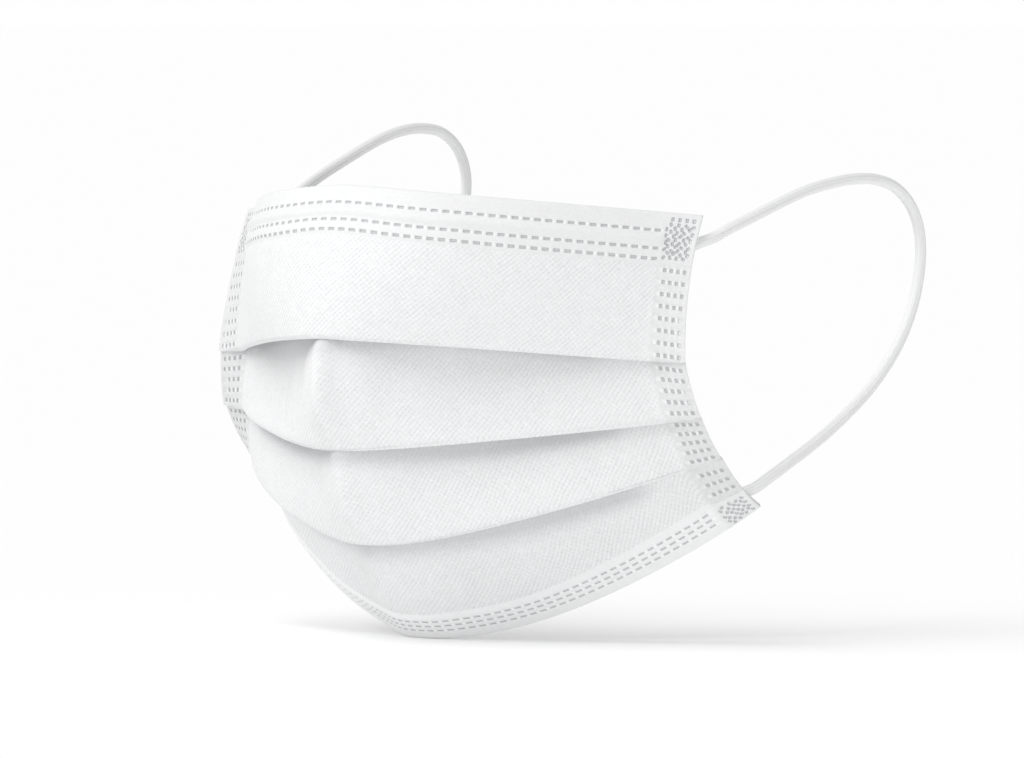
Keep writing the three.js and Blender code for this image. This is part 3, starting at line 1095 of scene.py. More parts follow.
    def _pressed(self, sections: Sections, from_edge: Array, depths: Array) -> Array:
        """Presses the dashes, the corner patches and the dots of the side bands.

        Args:
            sections: The middle of the cloth.
            from_edge: Each section's distance from its side edge.
            depths: Each row's distance from the hem's edge.

        Returns:
            How far each point is pressed, sections by rows.
        """
        signed = sections.places * self.shape.half_width
        along = nearest_offset(signed, self.dash_centres())
        down = nearest_offset(depths, np.array(self.dash_rows))
        free = (from_edge > self.band.width * self.band_overlap)[:, None]
        bridges = self.dash.bridge(along[:, None], down[None, :], self.dash_pitch)
        # The raised cloth between dashes goes in below 0; the finish draws it lighter as a painted highlight.
        pressed = (self.dash.mask(along[:, None], down[None, :]) - self.bridge * bridges) * free
        for side in Side:
            here = (np.sign(sections.places) == side.value)[:, None]
            for across, below, turn in self.patch.marks(side):
                mark = self.patch.mark.mask(from_edge[:, None] - across, depths[None, :] - below, turn) * here
                pressed = np.where(mark > 0.0, np.maximum(pressed, mark), pressed)
        if self.top_dots is not None:
            across = nearest_offset(from_edge, self.band.column_places)
            dots = self.band.dot.mask(across[:, None], depths[None, :] - self.top_dots)
            pressed = np.where(dots > 0.0, np.maximum(pressed, dots), pressed)
        return pressed


@dataclass
class NoseHem(Hem):
    """The wide hem of the nose edge, with its raised channel."""

    name: str = "nose_hem_cloth"
    node: str = "nose_hem"
    edge: Edge = Edge.NOSE
    depth: float = 0.0135
    returned: float = 0.012
    dash_rows: tuple[float, ...] = (0.0049, 0.0095, 0.0121)
    dash: WeldMark = WeldMark(across=0.00145, down=0.0005, wall=0.00018, depth=0.0003)
    dash_pitch: float = 0.00285
    patch: CornerPatch = CornerPatch(
        near_side=0.0016, far_side=0.0082, near_edge=0.0034, far_edge=0.0122, pitch=0.00184,
        mark=WeldMark(across=0.0008, down=0.0005, wall=0.0002, depth=0.0003), seed=11,
    )
    channel: tuple[float, float] | None = (0.0056, 0.0088)
    channel_rise: float = 0.0006
    top_dots: float | None = 0.0018


@dataclass
class ChinHem(Hem):
    """The narrow hem of the chin edge."""

    name: str = "chin_hem_cloth"
    node: str = "chin_hem"
    edge: Edge = Edge.CHIN
    depth: float = 0.009
    returned: float = 0.008
    dash_rows: tuple[float, ...] = (0.0033, 0.0049, 0.0065)
    dash: WeldMark = WeldMark(across=0.0014, down=0.0003, wall=0.0002, depth=0.0002)
    dash_pitch: float = 0.0027
    patch: CornerPatch = CornerPatch(
        near_side=0.0015, far_side=0.0090, near_edge=0.0014, far_edge=0.0080, pitch=0.0019,
        mark=WeldMark(across=0.0008, down=0.0005, wall=0.0002, depth=0.00028), seed=5,
    )


@dataclass(frozen=True)
class LoopRoute:
    """The chosen points of one ear loop, from its upper pad to its lower one."""

    side: Side
    points: tuple[tuple[float, float, float], ...]


LEFT_LOOP = LoopRoute(Side.LEFT, (
    (0.0668, 0.0523, -0.0095), (0.0685, 0.0542, -0.0089), (0.0702, 0.0560, -0.0080),
    (0.0715, 0.0590, -0.0070), (0.0723, 0.0640, -0.0051), (0.0730, 0.0720, -0.0026),
    (0.0734, 0.0800, -0.0002), (0.0738, 0.0885, 0.0023), (0.0743, 0.0975, 0.0046),
    (0.0747, 0.1070, 0.0061), (0.0750, 0.1160, 0.0070), (0.0752, 0.1250, 0.0068),
    (0.0754, 0.1340, 0.0048), (0.0755, 0.1409, 0.0004), (0.0756, 0.1448, -0.0055),
    (0.0757, 0.1458, -0.0124), (0.0758, 0.1437, -0.0220), (0.0758, 0.1397, -0.0300),
    (0.0758, 0.1339, -0.0372), (0.0758, 0.1240, -0.0456), (0.0757, 0.1125, -0.0526),
    (0.0755, 0.1005, -0.0587), (0.0751, 0.0880, -0.0641), (0.0744, 0.0797, -0.0678),
    (0.0732, 0.0752, -0.0702),
    (0.0717, 0.0732, -0.0712), (0.0696, 0.0704, -0.0728),
))
RIGHT_LOOP = LoopRoute(Side.RIGHT, (
    (-0.0668, 0.0523, -0.0095), (-0.0685, 0.0542, -0.0091), (-0.0702, 0.0560, -0.0085),
    (-0.0713, 0.0600, -0.0064), (-0.0718, 0.0680, -0.0015), (-0.0720, 0.0775, 0.0035),
    (-0.0723, 0.0865, 0.0072), (-0.0727, 0.0955, 0.0104), (-0.0731, 0.1045, 0.0135),
    (-0.0736, 0.1135, 0.0162), (-0.0741, 0.1230, 0.0181), (-0.0745, 0.1325, 0.0187),
    (-0.0749, 0.1421, 0.0173), (-0.0752, 0.1493, 0.0130), (-0.0754, 0.1529, 0.0070),
    (-0.0756, 0.1533, 0.0003),
    (-0.0757, 0.1503, -0.0095), (-0.0758, 0.1445, -0.0195), (-0.0758, 0.1355, -0.0300),
    (-0.0758, 0.1240, -0.0395), (-0.0757, 0.1115, -0.0482), (-0.0755, 0.0990, -0.0562),
    (-0.0751, 0.0880, -0.0634), (-0.0744, 0.0797, -0.0679), (-0.0732, 0.0752, -0.0698),
    (-0.0717, 0.0732, -0.0705), (-0.0696, 0.0704, -0.0714),
))


@dataclass
class EarLoop:
    """A round knitted elastic cord, ribbed lengthwise, from one corner of the mask to the other.

    twist is how far the ribs turn round the cord, in radians for each metre.
    """

    route: LoopRoute
    diameter: float = 0.0029
    ribs: int = 11
    points_per_rib: int = 4
    rib_depth: float = 0.00003
    stitch_length: float = 0.0009
    stitch_depth: float = 0.00001
    ring_step: float = 0.00028
    twist: float = 9.0
    samples: int = 40
    path_step: int = 4
    line: Array = field(init=False)
    length: float = field(init=False)

    @staticmethod
    def _runs(line: Array) -> Array:
        """Returns the length of a line in space up to each of its points."""
        return np.concatenate([[0.0], np.cumsum(np.linalg.norm(np.diff(line, axis=0), axis=-1))])

    def __post_init__(self) -> None:
        """Lays the middle of the cord along its route, in even steps, and measures it."""
        points = np.array(self.route.points)
        ahead = np.concatenate([[2 * points[0] - points[1]], points, [2 * points[-1] - points[-2]]])
        fine = [
            spline_between(*(ahead[k + step][None] for step in range(4)), self.samples)[0]
            for k in range(len(points) - 1)
        ]
        fine = np.concatenate(fine + [points[-1:]])
        run = self._runs(fine)
        even = even_steps(0.0, run[-1], self.ring_step)
        self.line = np.stack([np.interp(even, run, fine[:, k]) for k in range(3)], axis=-1)
        self.length = float(self._runs(self.line)[-1])

    def _ring_axes(self) -> tuple[Array, Array]:
        """Carries a pair of directions along the cord without twist.

        Returns:
            Two unit directions for each ring, at right angles to the cord and to each other.
        """
        along = np.gradient(self.line, axis=0)
        along /= np.linalg.norm(along, axis=-1, keepdims=True)
        beside = np.zeros_like(self.line)
        first = np.cross(along[0], [0.0, 0.0, 1.0])
        beside[0] = first / np.linalg.norm(first)
        for k in range(1, len(self.line)):
            carried = beside[k - 1] - along[k] * np.dot(beside[k - 1], along[k])
            beside[k] = carried / np.linalg.norm(carried)
        return beside, np.cross(along, beside)

    def build(self) -> bpy.types.Object:
        """Builds the cord, ring by ring, with its ribs and stitches.

        Returns:
            The new piece.
        """
        run = self._runs(self.line)[:, None]
        beside, third = self._ring_axes()
        sides = self.ribs * self.points_per_rib
        angle = np.arange(sides) / sides * 2 * np.pi
        turned = angle[None, :] + self.twist * run
        wale = np.cos(self.ribs * angle)[None, :]
        stitch = np.cos(2 * np.pi * run / self.stitch_length + np.pi * (wale > 0))
        radius = self.diameter / 2 - self.rib_depth * (1 - wale) / 2 + self.stitch_depth * stitch * (wale > 0)
        points = self.line[:, None, :] + radius[..., None] * (
            np.cos(turned)[..., None] * beside[:, None, :] + np.sin(turned)[..., None] * third[:, None, :]
        )
        index = np.arange(len(self.line) * sides).reshape(-1, sides)
        onward = np.roll(index, -1, axis=1)
        faces = np.stack([index[:-1], onward[:-1], onward[1:], index[1:]], axis=-1).reshape(-1, 4).tolist()
        faces += [index[0, ::-1].tolist(), index[-1].tolist()]
        uv = np.stack(np.broadcast_arrays(angle[None, :] * self.diameter / 2, run), axis=-1)
        name = f"elastic_{self.route.side.word}"
        mesh = rounded_mesh(name, points.reshape(-1, 3), faces, "cord", uv.reshape(-1, 2) * UV_PER_METRE)
        mesh.update()
        return linked(name, mesh)

    def dress(self, cord: bpy.types.Object, material: bpy.types.Material,
              pads: list[bpy.types.Object]) -> None:
        """Args:
            cord: The piece that was built.
            material: Its material.
            pads: The pads at its two ends; not used.
        """
        dress(cord, material, "elastic", f"{self.route.side.word}_ear_loop")
        LOG.info("%s: %.4f m long", cord.name, self.length)


@dataclass
class LoopPad:
    """The flattened end of a loop, welded to the inside of a hem beside the side edge."""

    shape: WornShape
    side: Side
    edge: Edge
    length: float = 0.0075
    height: float = 0.008
    inset: float = 0.0025
    thickness: float = 0.0012
    offset: float = 0.0016
    start_depth: float = 0.003
    squareness: float = 6.0
    rim_share: float = 0.12
    rows: int = 22
    section_rows: int = 40

    def build(self) -> bpy.types.Object:
        """Builds the pad as a flat pillow with rounded rims.

        Returns:
            The new piece.
        """
        half = self.shape.half_width
        outer = 1.0 - self.inset / half
        places = np.linspace(outer - self.length / half, outer, self.rows)
        if self.side is Side.RIGHT:
            places = -places[::-1]
        sections = self.shape.sections(places, self.shape.even_rows(self.section_rows))
        depths = self.start_depth + np.linspace(0.0, self.height, self.rows)
        path = self.shape.beside(sections, self.edge, depths, np.full(self.rows, -self.offset))
        if self.edge is Edge.CHIN:
            path = path[:, ::-1]
        round_off = np.sqrt(1.0 - np.abs(np.linspace(-1.0, 1.0, self.rows)) ** self.squareness)
        pillow = np.maximum(round_off[:, None] * round_off[None, :], self.rim_share)
        front, back = both_faces(path, self.thickness / 2 * pillow, self.thickness / 2 * pillow)
        uv = np.stack(np.broadcast_arrays(places[:, None] * half, depths[None, :]), axis=-1) * UV_PER_METRE
        origin = self.shape.origin
        return sheet_piece(
            f"pad_{self.edge.value}_{self.side.word}", sections.in_space(front, origin),
            sections.in_space(back, origin), uv, np.zeros(front.shape[:2]),
        )

    def dress(self, pad: bpy.types.Object, material: bpy.types.Material) -> None:
        """Dresses the pad as part of the elastic."""
        dress(pad, material, "elastic", f"loop_pad_{self.edge.value}_{self.side.word}")


class NodeTree:
    """A thin helper over a shader tree: it adds nodes, sets their inputs and links them."""

    def __init__(self, tree: bpy.types.NodeTree) -> None:
        """Keeps the tree."""
        self.tree = tree

    def add(self, kind: str, settings: dict | None = None, **inputs: object) -> bpy.types.Node:
        """Adds a node.

        Args:
            kind: The node's type name.
            settings: Properties of the node.
            inputs: Sockets as values or as sockets to link. They go by name, with underscores for
                spaces, or by number, as n0, n1 and so on.

        Returns:
            The new node.
        """
        node = self.tree.nodes.new(kind)
        for key, value in (settings or {}).items():
            setattr(node, key, value)
        for key, value in inputs.items():
            numbered = key[:1] == "n" and key[1:].isdigit()
            socket = node.inputs[int(key[1:]) if numbered else key.replace("_", " ")]
            if isinstance(value, bpy.types.NodeSocket):
                self.link(value, socket)
            else:
                socket.default_value = value
        return node

    def link(self, source: bpy.types.NodeSocket, sink: bpy.types.NodeSocket) -> None:
        """Links one socket to another."""
        self.tree.links.new(source, sink)

    def smooth_range(self, value: bpy.types.NodeSocket, **ends: object) -> bpy.types.NodeSocket:
        """Maps a value smoothly from one range to another and returns the result."""
        settings = {"interpolation_type": "SMOOTHSTEP"}
        return self.add("ShaderNodeMapRange", settings, Value=value, **ends).outputs[0]

    def shifted(self, value: bpy.types.NodeSocket, low: float, high: float) -> bpy.types.NodeSocket:
        """Maps a value from 0 to 1 evenly to a range from low to high and returns the result."""
        return self.add("ShaderNodeMapRange", None, Value=value, To_Min=low, To_Max=high).outputs[0]

    def math(self, operation: str, a: object, b: object = 0.0, c: object = 0.0) -> bpy.types.NodeSocket:
        """Adds a maths node and returns its value."""
        node = self.add("ShaderNodeMath", {"operation": operation}, n0=a, n1=b, n2=c)
        return node.outputs[0]

    def mix_colour(self, share: object, a: object, b: object) -> bpy.types.NodeSocket:
        """Mixes two colours and returns the result."""
        node = self.add("ShaderNodeMix", {"data_type": "RGBA"}, n0=share, n6=a, n7=b)
        return node.outputs[2]


@dataclass(frozen=True)
class Socketed:
    """The two end nodes of a group."""

    source: bpy.types.Node
    sink: bpy.types.Node

    def given(self, name: str) -> bpy.types.NodeSocket:
        """Returns the socket that brings an input in."""
        return self.source.outputs[name]


def new_group(name: str, inputs: dict[str, float], outputs: tuple[str, ...]) -> tuple[NodeTree, Socketed]:
    """Makes a shader node group with number sockets.

    Args:
        name: The group's name.
        inputs: Its inputs with their defaults.
        outputs: The names of its outputs.

    Returns:
        The helper over its tree, and its input and output nodes.
    """
    tree = bpy.data.node_groups.new(name, "ShaderNodeTree")
    for key, value in inputs.items():
        socket = tree.interface.new_socket(name=key, in_out="INPUT", socket_type="NodeSocketFloat")
        socket.default_value = value
    for key in outputs:
        tree.interface.new_socket(name=key, in_out="OUTPUT", socket_type="NodeSocketFloat")
    source = tree.nodes.new("NodeGroupInput")
    sink = tree.nodes.new("NodeGroupOutput")
    return NodeTree(tree), Socketed(source, sink)


@dataclass(frozen=True)
class EmbossLattice:
    """Small pits along two diagonals, whose lines wander and fade in soft clouds.

    The stronger lines rise towards the wearer's left.
    """

    wander_scales: tuple[float, float] = (0.11, 0.16)
    wander_detail: float = 5.0
    cloud_ratio: float = 1.7
    cloud_detail: float = 3.0
    cloud_range: tuple[float, float] = (0.1, 0.6)
    pit_sharpness: float = 2.0

    def group(self) -> bpy.types.NodeTree:
        """Builds the group.

        Returns:
            A group with the height of the emboss, from 0 to 1, and a mask of its pits.
        """
        inputs = {"Pitch": 1.0, "Second": 0.5, "Drift": 0.6}
        nodes, ends = new_group("emboss_lattice", inputs, ("Height", "Pits"))
        uv = nodes.add("ShaderNodeUVMap", {"uv_map": "cloth"}).outputs[0]
        split = nodes.add("ShaderNodeSeparateXYZ", None, Vector=uv)
        second = ends.given("Second")
        spacing = nodes.math("MULTIPLY", ends.given("Pitch"), math.sqrt(2.0))
        total = 0.0
        for operation, scale, share in zip(("ADD", "SUBTRACT"), self.wander_scales, (1.0, second)):
            wander = nodes.add("ShaderNodeTexNoise", {"noise_dimensions": "2D"}, Vector=uv, Scale=scale,
                               Detail=self.wander_detail)
            aside = nodes.math("SUBTRACT", wander.outputs[0], 0.5)
            shift = nodes.math("MULTIPLY", aside, ends.given("Drift"))
            diagonal = nodes.math(operation, split.outputs[0], split.outputs[1])
            turns = nodes.math("DIVIDE", nodes.math("ADD", diagonal, shift), spacing)
            wave = nodes.math("COSINE", nodes.math("MULTIPLY", turns, 2.0 * math.pi))
            cloud = nodes.add("ShaderNodeTexNoise", {"noise_dimensions": "3D"}, Vector=uv,
                              Scale=scale * self.cloud_ratio, Detail=self.cloud_detail)
            strong = nodes.add("ShaderNodeMapRange", None, Value=cloud.outputs[0],
                               From_Min=self.cloud_range[0], From_Max=self.cloud_range[1])
            part = nodes.math("MULTIPLY", nodes.math("MULTIPLY", wave, strong.outputs[0]), share)
            total = nodes.math("ADD", total, part)
        mean = nodes.math("DIVIDE", total, nodes.math("ADD", second, 1.0))
        height = nodes.math("MULTIPLY_ADD", mean, 0.5, 0.5)
        nodes.link(height, ends.sink.inputs["Height"])
        pits = nodes.math("POWER", nodes.math("SUBTRACT", 1.0, height), self.pit_sharpness)
        nodes.link(pits, ends.sink.inputs["Pits"])
        return nodes.tree


@dataclass(frozen=True)
class FibreFelt:
    """The fine fibres and soft clouds of a non-woven cloth."""

    fibre_stretches: tuple[tuple[float, float, float], ...] = ((1.0, 0.16, 0.45), (0.2, 0.6, 1.0))
    fibre_detail: float = 3.0
    fibre_distortion: float = 0.6
    cloud_detail: float = 4.0

    def group(self) -> bpy.types.NodeTree:
        """Builds the group.

        Returns:
            A group with the height of the fibres and a cloudy tone, both from 0 to 1.
        """
        nodes, ends = new_group("fibre_felt", {"Fibre Size": 0.35, "Cloud Size": 5.0}, ("Height", "Tone"))
        place = nodes.add("ShaderNodeTexCoord").outputs["Object"]
        in_mm = nodes.add("ShaderNodeVectorMath", {"operation": "SCALE"}, n0=place, Scale=UV_PER_METRE)
        scale = nodes.math("DIVIDE", 1.0, ends.given("Fibre Size"))
        strands = []
        for stretch in self.fibre_stretches:
            long_way = nodes.add("ShaderNodeVectorMath", {"operation": "MULTIPLY"},
                                 n0=in_mm.outputs[0], n1=stretch)
            noise = nodes.add("ShaderNodeTexNoise", None, Vector=long_way.outputs[0], Scale=scale,
                              Detail=self.fibre_detail, Distortion=self.fibre_distortion)
            strands.append(noise.outputs[0])
        height = nodes.math("MULTIPLY", nodes.math("ADD", *strands), 0.5)
        nodes.link(height, ends.sink.inputs["Height"])
        cloud_scale = nodes.math("DIVIDE", 1.0, ends.given("Cloud Size"))
        cloud = nodes.add("ShaderNodeTexNoise", None, Vector=in_mm.outputs[0], Scale=cloud_scale,
                          Detail=self.cloud_detail)
        nodes.link(cloud.outputs[0], ends.sink.inputs["Tone"])
        return nodes.tree


@dataclass(frozen=True)
class WeldFilmAndShade:
    """The look of cloth that a weld has pressed into a film, with painted shade on the walls of the marks and
    in the folds, and a painted highlight between marks, from the points' weld values.
    """

    wall_range: tuple[float, float] = (0.15, 0.7)
    floor_range: tuple[float, float] = (0.8, 1.0)

    def group(self) -> bpy.types.NodeTree:
        """Builds the group.

        Returns:
            A group with three masks from 0 to 1: how far a point is pressed, how much of a film it
            has become, which is most round the floor of a mark, and how far it is raised.
        """
        nodes, ends = new_group("weld_film_and_painted_shade", {"Floor": 0.5}, ("Pressed", "Film And Shade", "Painted Highlight"))
        weld = nodes.add("ShaderNodeAttribute", {"attribute_name": "weld"}).outputs["Fac"]
        pressed = nodes.math("MAXIMUM", weld, 0.0)
        nodes.link(pressed, ends.sink.inputs["Pressed"])
        raised = nodes.math("MAXIMUM", nodes.math("MULTIPLY", weld, -1.0), 0.0)
        nodes.link(raised, ends.sink.inputs["Painted Highlight"])
        wall = nodes.smooth_range(pressed, From_Min=self.wall_range[0], From_Max=self.wall_range[1])
        floor = nodes.smooth_range(pressed, From_Min=self.floor_range[0], From_Max=self.floor_range[1],
                                   To_Min=1.0, To_Max=ends.given("Floor"))
        nodes.link(nodes.math("MULTIPLY", wall, floor), ends.sink.inputs["Film And Shade"])
        return nodes.tree


@dataclass(frozen=True)
class Effects:
    """The effects that several finishes share, each a node group built once."""

    emboss: bpy.types.NodeTree
    felt: bpy.types.NodeTree
    weld: bpy.types.NodeTree

    @staticmethod
    def build() -> "Effects":
        """Builds the groups."""
        return Effects(EmbossLattice().group(), FibreFelt().group(), WeldFilmAndShade().group())


def new_material(name: str) -> tuple[bpy.types.Material, NodeTree, bpy.types.Node]:
    """Makes a material.

    Args:
        name: The material's name.

    Returns:
        The material, the helper over its tree, and its Principled shader.
    """
    material = bpy.data.materials.new(name)
    material.use_nodes = True
    return material, NodeTree(material.node_tree), material.node_tree.nodes["Principled BSDF"]


def opaque(colour: tuple[float, float, float]) -> tuple[float, float, float, float]:
    """Returns a colour with a full fourth value, as sockets want it."""
    return (*colour, 1.0)


@dataclass(frozen=True)
class ClothFinish:
    """White non-woven cloth: its colours, its emboss and fibres, how its welds look, and its painted shade in
    the emboss pits, on the walls of weld marks and in the folds, with a painted highlight between marks.

    Heights are in metres, and pitches and sizes in millimetres on the cloth. From plain_beyond
    outwards, counted from the middle, the cloth is the plain cloth of the side bands.
    """

    name: str
    colour: tuple[float, float, float]
    pit_shade_colour: tuple[float, float, float]
    film_and_shade_colour: tuple[float, float, float]
    roughness: float = 0.82
    weld_roughness: float = 0.45
    specular: float = 0.3
    sheen: float = 0.08
    sheen_roughness: float = 0.5
    emboss_height: float = 0.00008
    emboss_pitch: float = 1.0
    second_diagonal: float = 0.45
    drift: float = 1.6
    fibre_height: float = 0.00007
    fibre_size: float = 0.4
    tone: float = 0.02
    grain: float = 0.2
    plain_beyond: float | None = None
    band_blend: tuple[float, float] = (1.5, 0.5)
    band_tone: float = 0.86
    bridge_highlight: float = 0.2

    def material(self, effects: Effects) -> bpy.types.Material:
        """Builds the material.

        Args:
            effects: The shared node groups.

        Returns:
            The material.
        """
        material, nodes, shader = new_material(self.name)
        emboss = nodes.add("ShaderNodeGroup", {"node_tree": effects.emboss},
                           Pitch=self.emboss_pitch, Second=self.second_diagonal, Drift=self.drift)
        felt = nodes.add("ShaderNodeGroup", {"node_tree": effects.felt}, Fibre_Size=self.fibre_size)
        weld = nodes.add("ShaderNodeGroup", {"node_tree": effects.weld})
        kept = nodes.math("SUBTRACT", 1.0, weld.outputs["Pressed"])
        dimmed: object = 1.0
        if self.plain_beyond is not None:
            uv = nodes.add("ShaderNodeUVMap", {"uv_map": "cloth"}).outputs[0]
            across = nodes.math("ABSOLUTE", nodes.add("ShaderNodeSeparateXYZ", None, Vector=uv).outputs[0])
            before, beyond = self.band_blend
            cloth = nodes.smooth_range(across, From_Min=self.plain_beyond - before,
                                       From_Max=self.plain_beyond + beyond, To_Min=1.0, To_Max=0.0)
            kept = nodes.math("MULTIPLY", kept, cloth)
            dimmed = nodes.math("MULTIPLY_ADD", cloth, 1.0 - self.band_tone, self.band_tone)
        # Painted shade: the emboss pits are drawn darker.
        pits = nodes.math("MULTIPLY", emboss.outputs["Pits"], kept)
        base = nodes.mix_colour(pits, opaque(self.colour), opaque(self.pit_shade_colour))
        # The weld film's own grey, drawn darkest on the walls of the marks as painted shade, and the painted
        # shade of the folds and of the cloth under each fold's lip.
        welded = nodes.mix_colour(weld.outputs["Film And Shade"], base, opaque(self.film_and_shade_colour))
        # Painted highlight: the cloth raised between marks is drawn lighter, over the side band's darker
        # tone.
        lit = nodes.math("MULTIPLY_ADD", weld.outputs["Painted Highlight"], self.bridge_highlight, dimmed)
        clouds = nodes.shifted(felt.outputs["Tone"], 1.0 - self.tone, 1.0 + self.tone)
        fibres = nodes.shifted(felt.outputs["Height"], 1.0 - self.grain, 1.0 + self.grain)
        tone = nodes.math("MULTIPLY", nodes.math("MULTIPLY", clouds, fibres), lit)
        toned = nodes.add("ShaderNodeVectorMath", {"operation": "SCALE"}, n0=welded, Scale=tone)
        nodes.link(toned.outputs[0], shader.inputs["Base Color"])
        rough = nodes.shifted(weld.outputs["Pressed"], self.roughness, self.weld_roughness)
        nodes.link(rough, shader.inputs["Roughness"])
        shader.inputs["Sheen Weight"].default_value = self.sheen
        shader.inputs["Sheen Roughness"].default_value = self.sheen_roughness
        shader.inputs["Specular IOR Level"].default_value = self.specular
        share = nodes.math("MULTIPLY", emboss.outputs["Height"], kept)
        lattice = nodes.math("MULTIPLY", share, self.emboss_height)
        strands = nodes.math("MULTIPLY", felt.outputs["Height"], self.fibre_height)
        relief = nodes.math("ADD", lattice, strands)
        bump = nodes.add("ShaderNodeBump", None, Strength=1.0, Distance=1.0, Height=relief)
        nodes.link(bump.outputs[0], shader.inputs["Normal"])
        return material


@dataclass(frozen=True)
class ElasticFinish:
    """White knitted elastic: raised ribs in the plain white, with painted shade, a faint grey, in the grooves
    between them.

    yarn_height is in metres, and the pitches, the slant and fibre_size are in millimetres.
    """

    name: str
    colour: tuple[float, float, float]
    groove_shade_colour: tuple[float, float, float]
    rib_pitch: float
    roughness: float = 0.75
    specular: float = 0.3
    sheen: float = 0.15
    fibre_size: float = 0.25
    yarn_height: float = 0.00001
    yarn_pitch: float = 0.45
    yarn_slant: float = 0.2
    groove_sharpness: float = 2.0

    def material(self, effects: Effects) -> bpy.types.Material:
        """Builds the material.

        Args:
            effects: The shared node groups.

        Returns:
            The material.
        """
        material, nodes, shader = new_material(self.name)
        felt = nodes.add("ShaderNodeGroup", {"node_tree": effects.felt}, Fibre_Size=self.fibre_size)
        uv = nodes.add("ShaderNodeUVMap", {"uv_map": "cord"}).outputs[0]
        split = nodes.add("ShaderNodeSeparateXYZ", None, Vector=uv)
        wale = nodes.math("COSINE", nodes.math("MULTIPLY", split.outputs[0], 2 * math.pi / self.rib_pitch))
        rise = nodes.math("ABSOLUTE", nodes.math("MULTIPLY", wale, self.yarn_slant))
        slant = nodes.math("ADD", split.outputs[1], rise)
        yarn = nodes.math("COSINE", nodes.math("MULTIPLY", slant, 2 * math.pi / self.yarn_pitch))
        between = nodes.math("MULTIPLY", nodes.math("SUBTRACT", 1.0, wale), 0.5)
        # Painted shade: the grooves between the ribs are drawn grey.
        groove_shade = nodes.math("POWER", between, self.groove_sharpness)
        base = nodes.mix_colour(groove_shade, opaque(self.colour), opaque(self.groove_shade_colour))
        nodes.link(base, shader.inputs["Base Color"])
        shader.inputs["Roughness"].default_value = self.roughness
        shader.inputs["Sheen Weight"].default_value = self.sheen
        shader.inputs["Specular IOR Level"].default_value = self.specular
        knit = nodes.math("MULTIPLY", nodes.math("ADD", yarn, felt.outputs["Height"]), self.yarn_height)
        bump = nodes.add("ShaderNodeBump", None, Strength=1.0, Distance=1.0, Height=knit)
        nodes.link(bump.outputs[0], shader.inputs["Normal"])
        return material


@dataclass(frozen=True)
class PaleFinish:
    """The plain floor of the studio, which glows faintly so that its shadows stay pale."""

    name: str = "studio_floor"
    colour: tuple[float, float, float] = (0.97, 0.97, 0.97)
    glow: float = 0.035

    def material(self) -> bpy.types.Material:
        """Builds the material.

        Returns:
            The material.
        """
        material, _, shader = new_material(self.name)
        shader.inputs["Base Color"].default_value = opaque(self.colour)
        shader.inputs["Roughness"].default_value = 1.0
        shader.inputs["Specular IOR Level"].default_value = 0.0
        shader.inputs["Emission Color"].default_value = opaque(WHITE)
        shader.inputs["Emission Strength"].default_value = self.glow
        return material


EMBOSSED_CLOTH = ClothFinish(
    "embossed_cloth", colour=(0.86, 0.863, 0.868), pit_shade_colour=(0.72, 0.725, 0.735),
    film_and_shade_colour=(0.46, 0.465, 0.48), plain_beyond=84.5,
)
SMOOTH_CLOTH = ClothFinish(
    "smooth_cloth", colour=(0.815, 0.818, 0.823), pit_shade_colour=(0.815, 0.818, 0.823),
    film_and_shade_colour=(0.42, 0.425, 0.44), emboss_height=0.0, fibre_height=0.00005, grain=0.1,
    plain_beyond=84.5, band_tone=0.93,
)
# Painted light: a lighter copy of the smooth cloth for the chin hem, which faces down towards the floor.
CHIN_CLOTH_PAINTED_LIGHT = replace(
    SMOOTH_CLOTH, name="smooth_cloth_chin_painted_light", colour=(0.89, 0.893, 0.898), pit_shade_colour=(0.89, 0.893, 0.898),
)
KNITTED_ELASTIC = ElasticFinish(
    "knitted_elastic", colour=(0.87, 0.872, 0.875), groove_shade_colour=(0.8, 0.803, 0.81), rib_pitch=0.828,
)


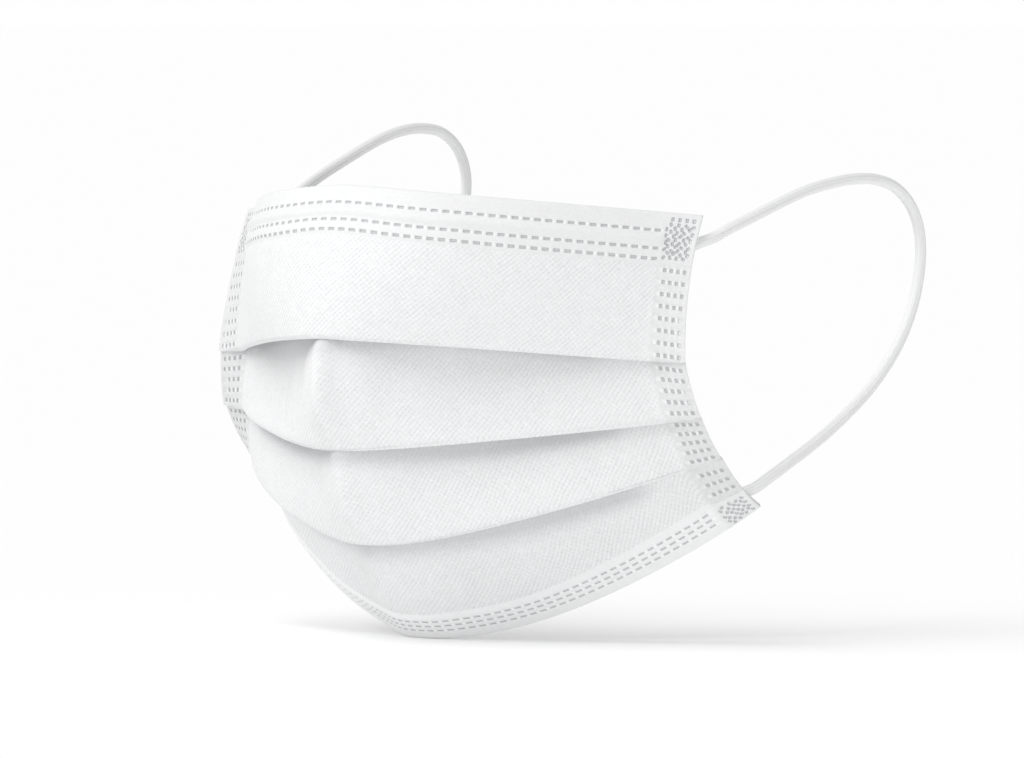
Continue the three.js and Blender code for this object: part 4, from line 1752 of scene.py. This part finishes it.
@dataclass
class Studio:
    """The camera, the pale floor, the even surroundings and the soft lights.

    The camera turns about the pivot. azimuth and elevation are in degrees and say from where it
    looks, counted from straight ahead of the mask towards the wearer's left and upwards.
    """

    azimuth: float = 37.27
    elevation: float = 1.0
    distance: float = 2.5
    target_right: float = 0.0415
    target_down: float = 0.0483
    pivot: tuple[float, float, float] = (0.0, 0.00126, 0.00607)
    sensor: float = 36.0
    pixels_per_radian: float = 10000.0
    photo_width: float = 1024.0
    clip: tuple[float, float] = (0.1, 100.0)
    floor_size: float = 4000.0
    backdrop: float = 0.995
    fill: float = 0.45
    key_from: tuple[float, float, float] = (-0.3, -0.52, 0.8)
    key_strength: float = 2.09
    key_spread: float = 1.1
    low_place: tuple[float, float, float] = (0.8, -0.45, -0.07)
    low_aim: tuple[float, float, float] = (0.02, 0.02, -0.07)
    low_size: tuple[float, float] = (0.7, 0.08)
    low_power: float = 1.5

    def camera(self) -> None:
        """Places the camera at the photograph's angle."""
        a, e = math.radians(self.azimuth), math.radians(self.elevation)
        right = Vector((math.cos(a), math.sin(a), 0.0))
        back = Vector((math.sin(a) * math.cos(e), -math.cos(a) * math.cos(e), math.sin(e)))
        up = back.cross(right)
        data = bpy.data.cameras.new("camera")
        data.sensor_width = self.sensor
        data.lens = self.sensor * self.pixels_per_radian / self.photo_width
        data.clip_start, data.clip_end = self.clip
        camera = linked("camera", data)
        pivot = Vector(self.pivot)
        camera.location = pivot + back * self.distance
        aim = pivot + right * self.target_right - up * self.target_down
        camera.rotation_euler = (aim - camera.location).to_track_quat("-Z", "Y").to_euler()
        bpy.context.scene.camera = camera

    def floor(self, height: float) -> None:
        """Lays the floor under the mask.

        Args:
            height: The height of the mask's lowest point.
        """
        half = self.floor_size / 2
        corners = [(x * half, y * half, height) for x, y in ((-1, -1), (1, -1), (1, 1), (-1, 1))]
        mesh = bpy.data.meshes.new("floor")
        mesh.from_pydata(corners, [], [(0, 1, 2, 3)])
        mesh.materials.append(PaleFinish().material())
        linked("floor", mesh)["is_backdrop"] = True

    def key(self) -> None:
        """Adds the soft main light, which comes from the upper left of the camera."""
        data = bpy.data.lights.new("key", "SUN")
        data.energy = self.key_strength
        data.angle = self.key_spread
        linked("key", data).rotation_euler = Vector(self.key_from).to_track_quat("Z", "Y").to_euler()

    def low(self) -> None:
        """Adds a weak broad light just above the floor, at the right of the camera."""
        data = bpy.data.lights.new("low", "AREA")
        data.shape = "RECTANGLE"
        data.size, data.size_y = self.low_size
        data.energy = self.low_power
        lamp = linked("low", data)
        lamp.location = self.low_place
        back = Vector(self.low_place) - Vector(self.low_aim)
        lamp.rotation_euler = back.to_track_quat("Z", "Y").to_euler()

    def surround(self) -> None:
        """Fills the scene evenly from all round, in front of a backdrop as pale as the floor."""
        world = bpy.data.worlds.new("surroundings")
        world.use_nodes = True
        nodes = NodeTree(world.node_tree)
        sky = world.node_tree.nodes["Background"]
        sky.inputs["Color"].default_value = opaque(WHITE)
        seen = nodes.add("ShaderNodeLightPath").outputs["Is Camera Ray"]
        strength = nodes.math("MULTIPLY_ADD", seen, self.backdrop - self.fill, self.fill)
        nodes.link(strength, sky.inputs["Strength"])
        bpy.context.scene.world = world
        bpy.context.scene.view_settings.view_transform = "Standard"


def main() -> None:
    """Builds the studio, the loops, the cloth and the hems."""
    logging.basicConfig(level=logging.INFO, format="%(name)s %(message)s")
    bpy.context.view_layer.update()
    studio = Studio()
    studio.camera()
    effects = Effects.build()
    embossed = EMBOSSED_CLOTH.material(effects)
    plain = SMOOTH_CLOTH.material(effects)
    chin_painted_light = CHIN_CLOTH_PAINTED_LIGHT.material(effects)
    elastic = KNITTED_ELASTIC.material(effects)
    shape = WornShape()
    band = SideBand()

    pads: dict[Side, list[bpy.types.Object]] = {side: [] for side in Side}
    for side in Side:
        for edge in Edge:
            pad = LoopPad(shape, side, edge)
            pads[side].append(pad.build())
            pad.dress(pads[side][-1], plain)
    for route in (LEFT_LOOP, RIGHT_LOOP):
        loop = EarLoop(route)
        loop.dress(loop.build(), elastic, pads[route.side])

    cloth = PleatedPanel(shape, band)
    panel = cloth.build()
    cloth.dress(panel, embossed)
    hems = []
    # The chin hem wears the lighter copy of the smooth cloth: painted light.
    for hem, finish in ((NoseHem(shape, band), plain), (ChinHem(shape, band), chin_painted_light)):
        hems.append(hem.build())
        hem.dress(hems[-1], finish)

    low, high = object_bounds()
    studio.floor(low.z)
    studio.surround()
    studio.key()
    studio.low()
    LOG.info("visual box %s to %s", [round(v, 4) for v in low], [round(v, 4) for v in high])


if __name__ == "__main__":
    main()
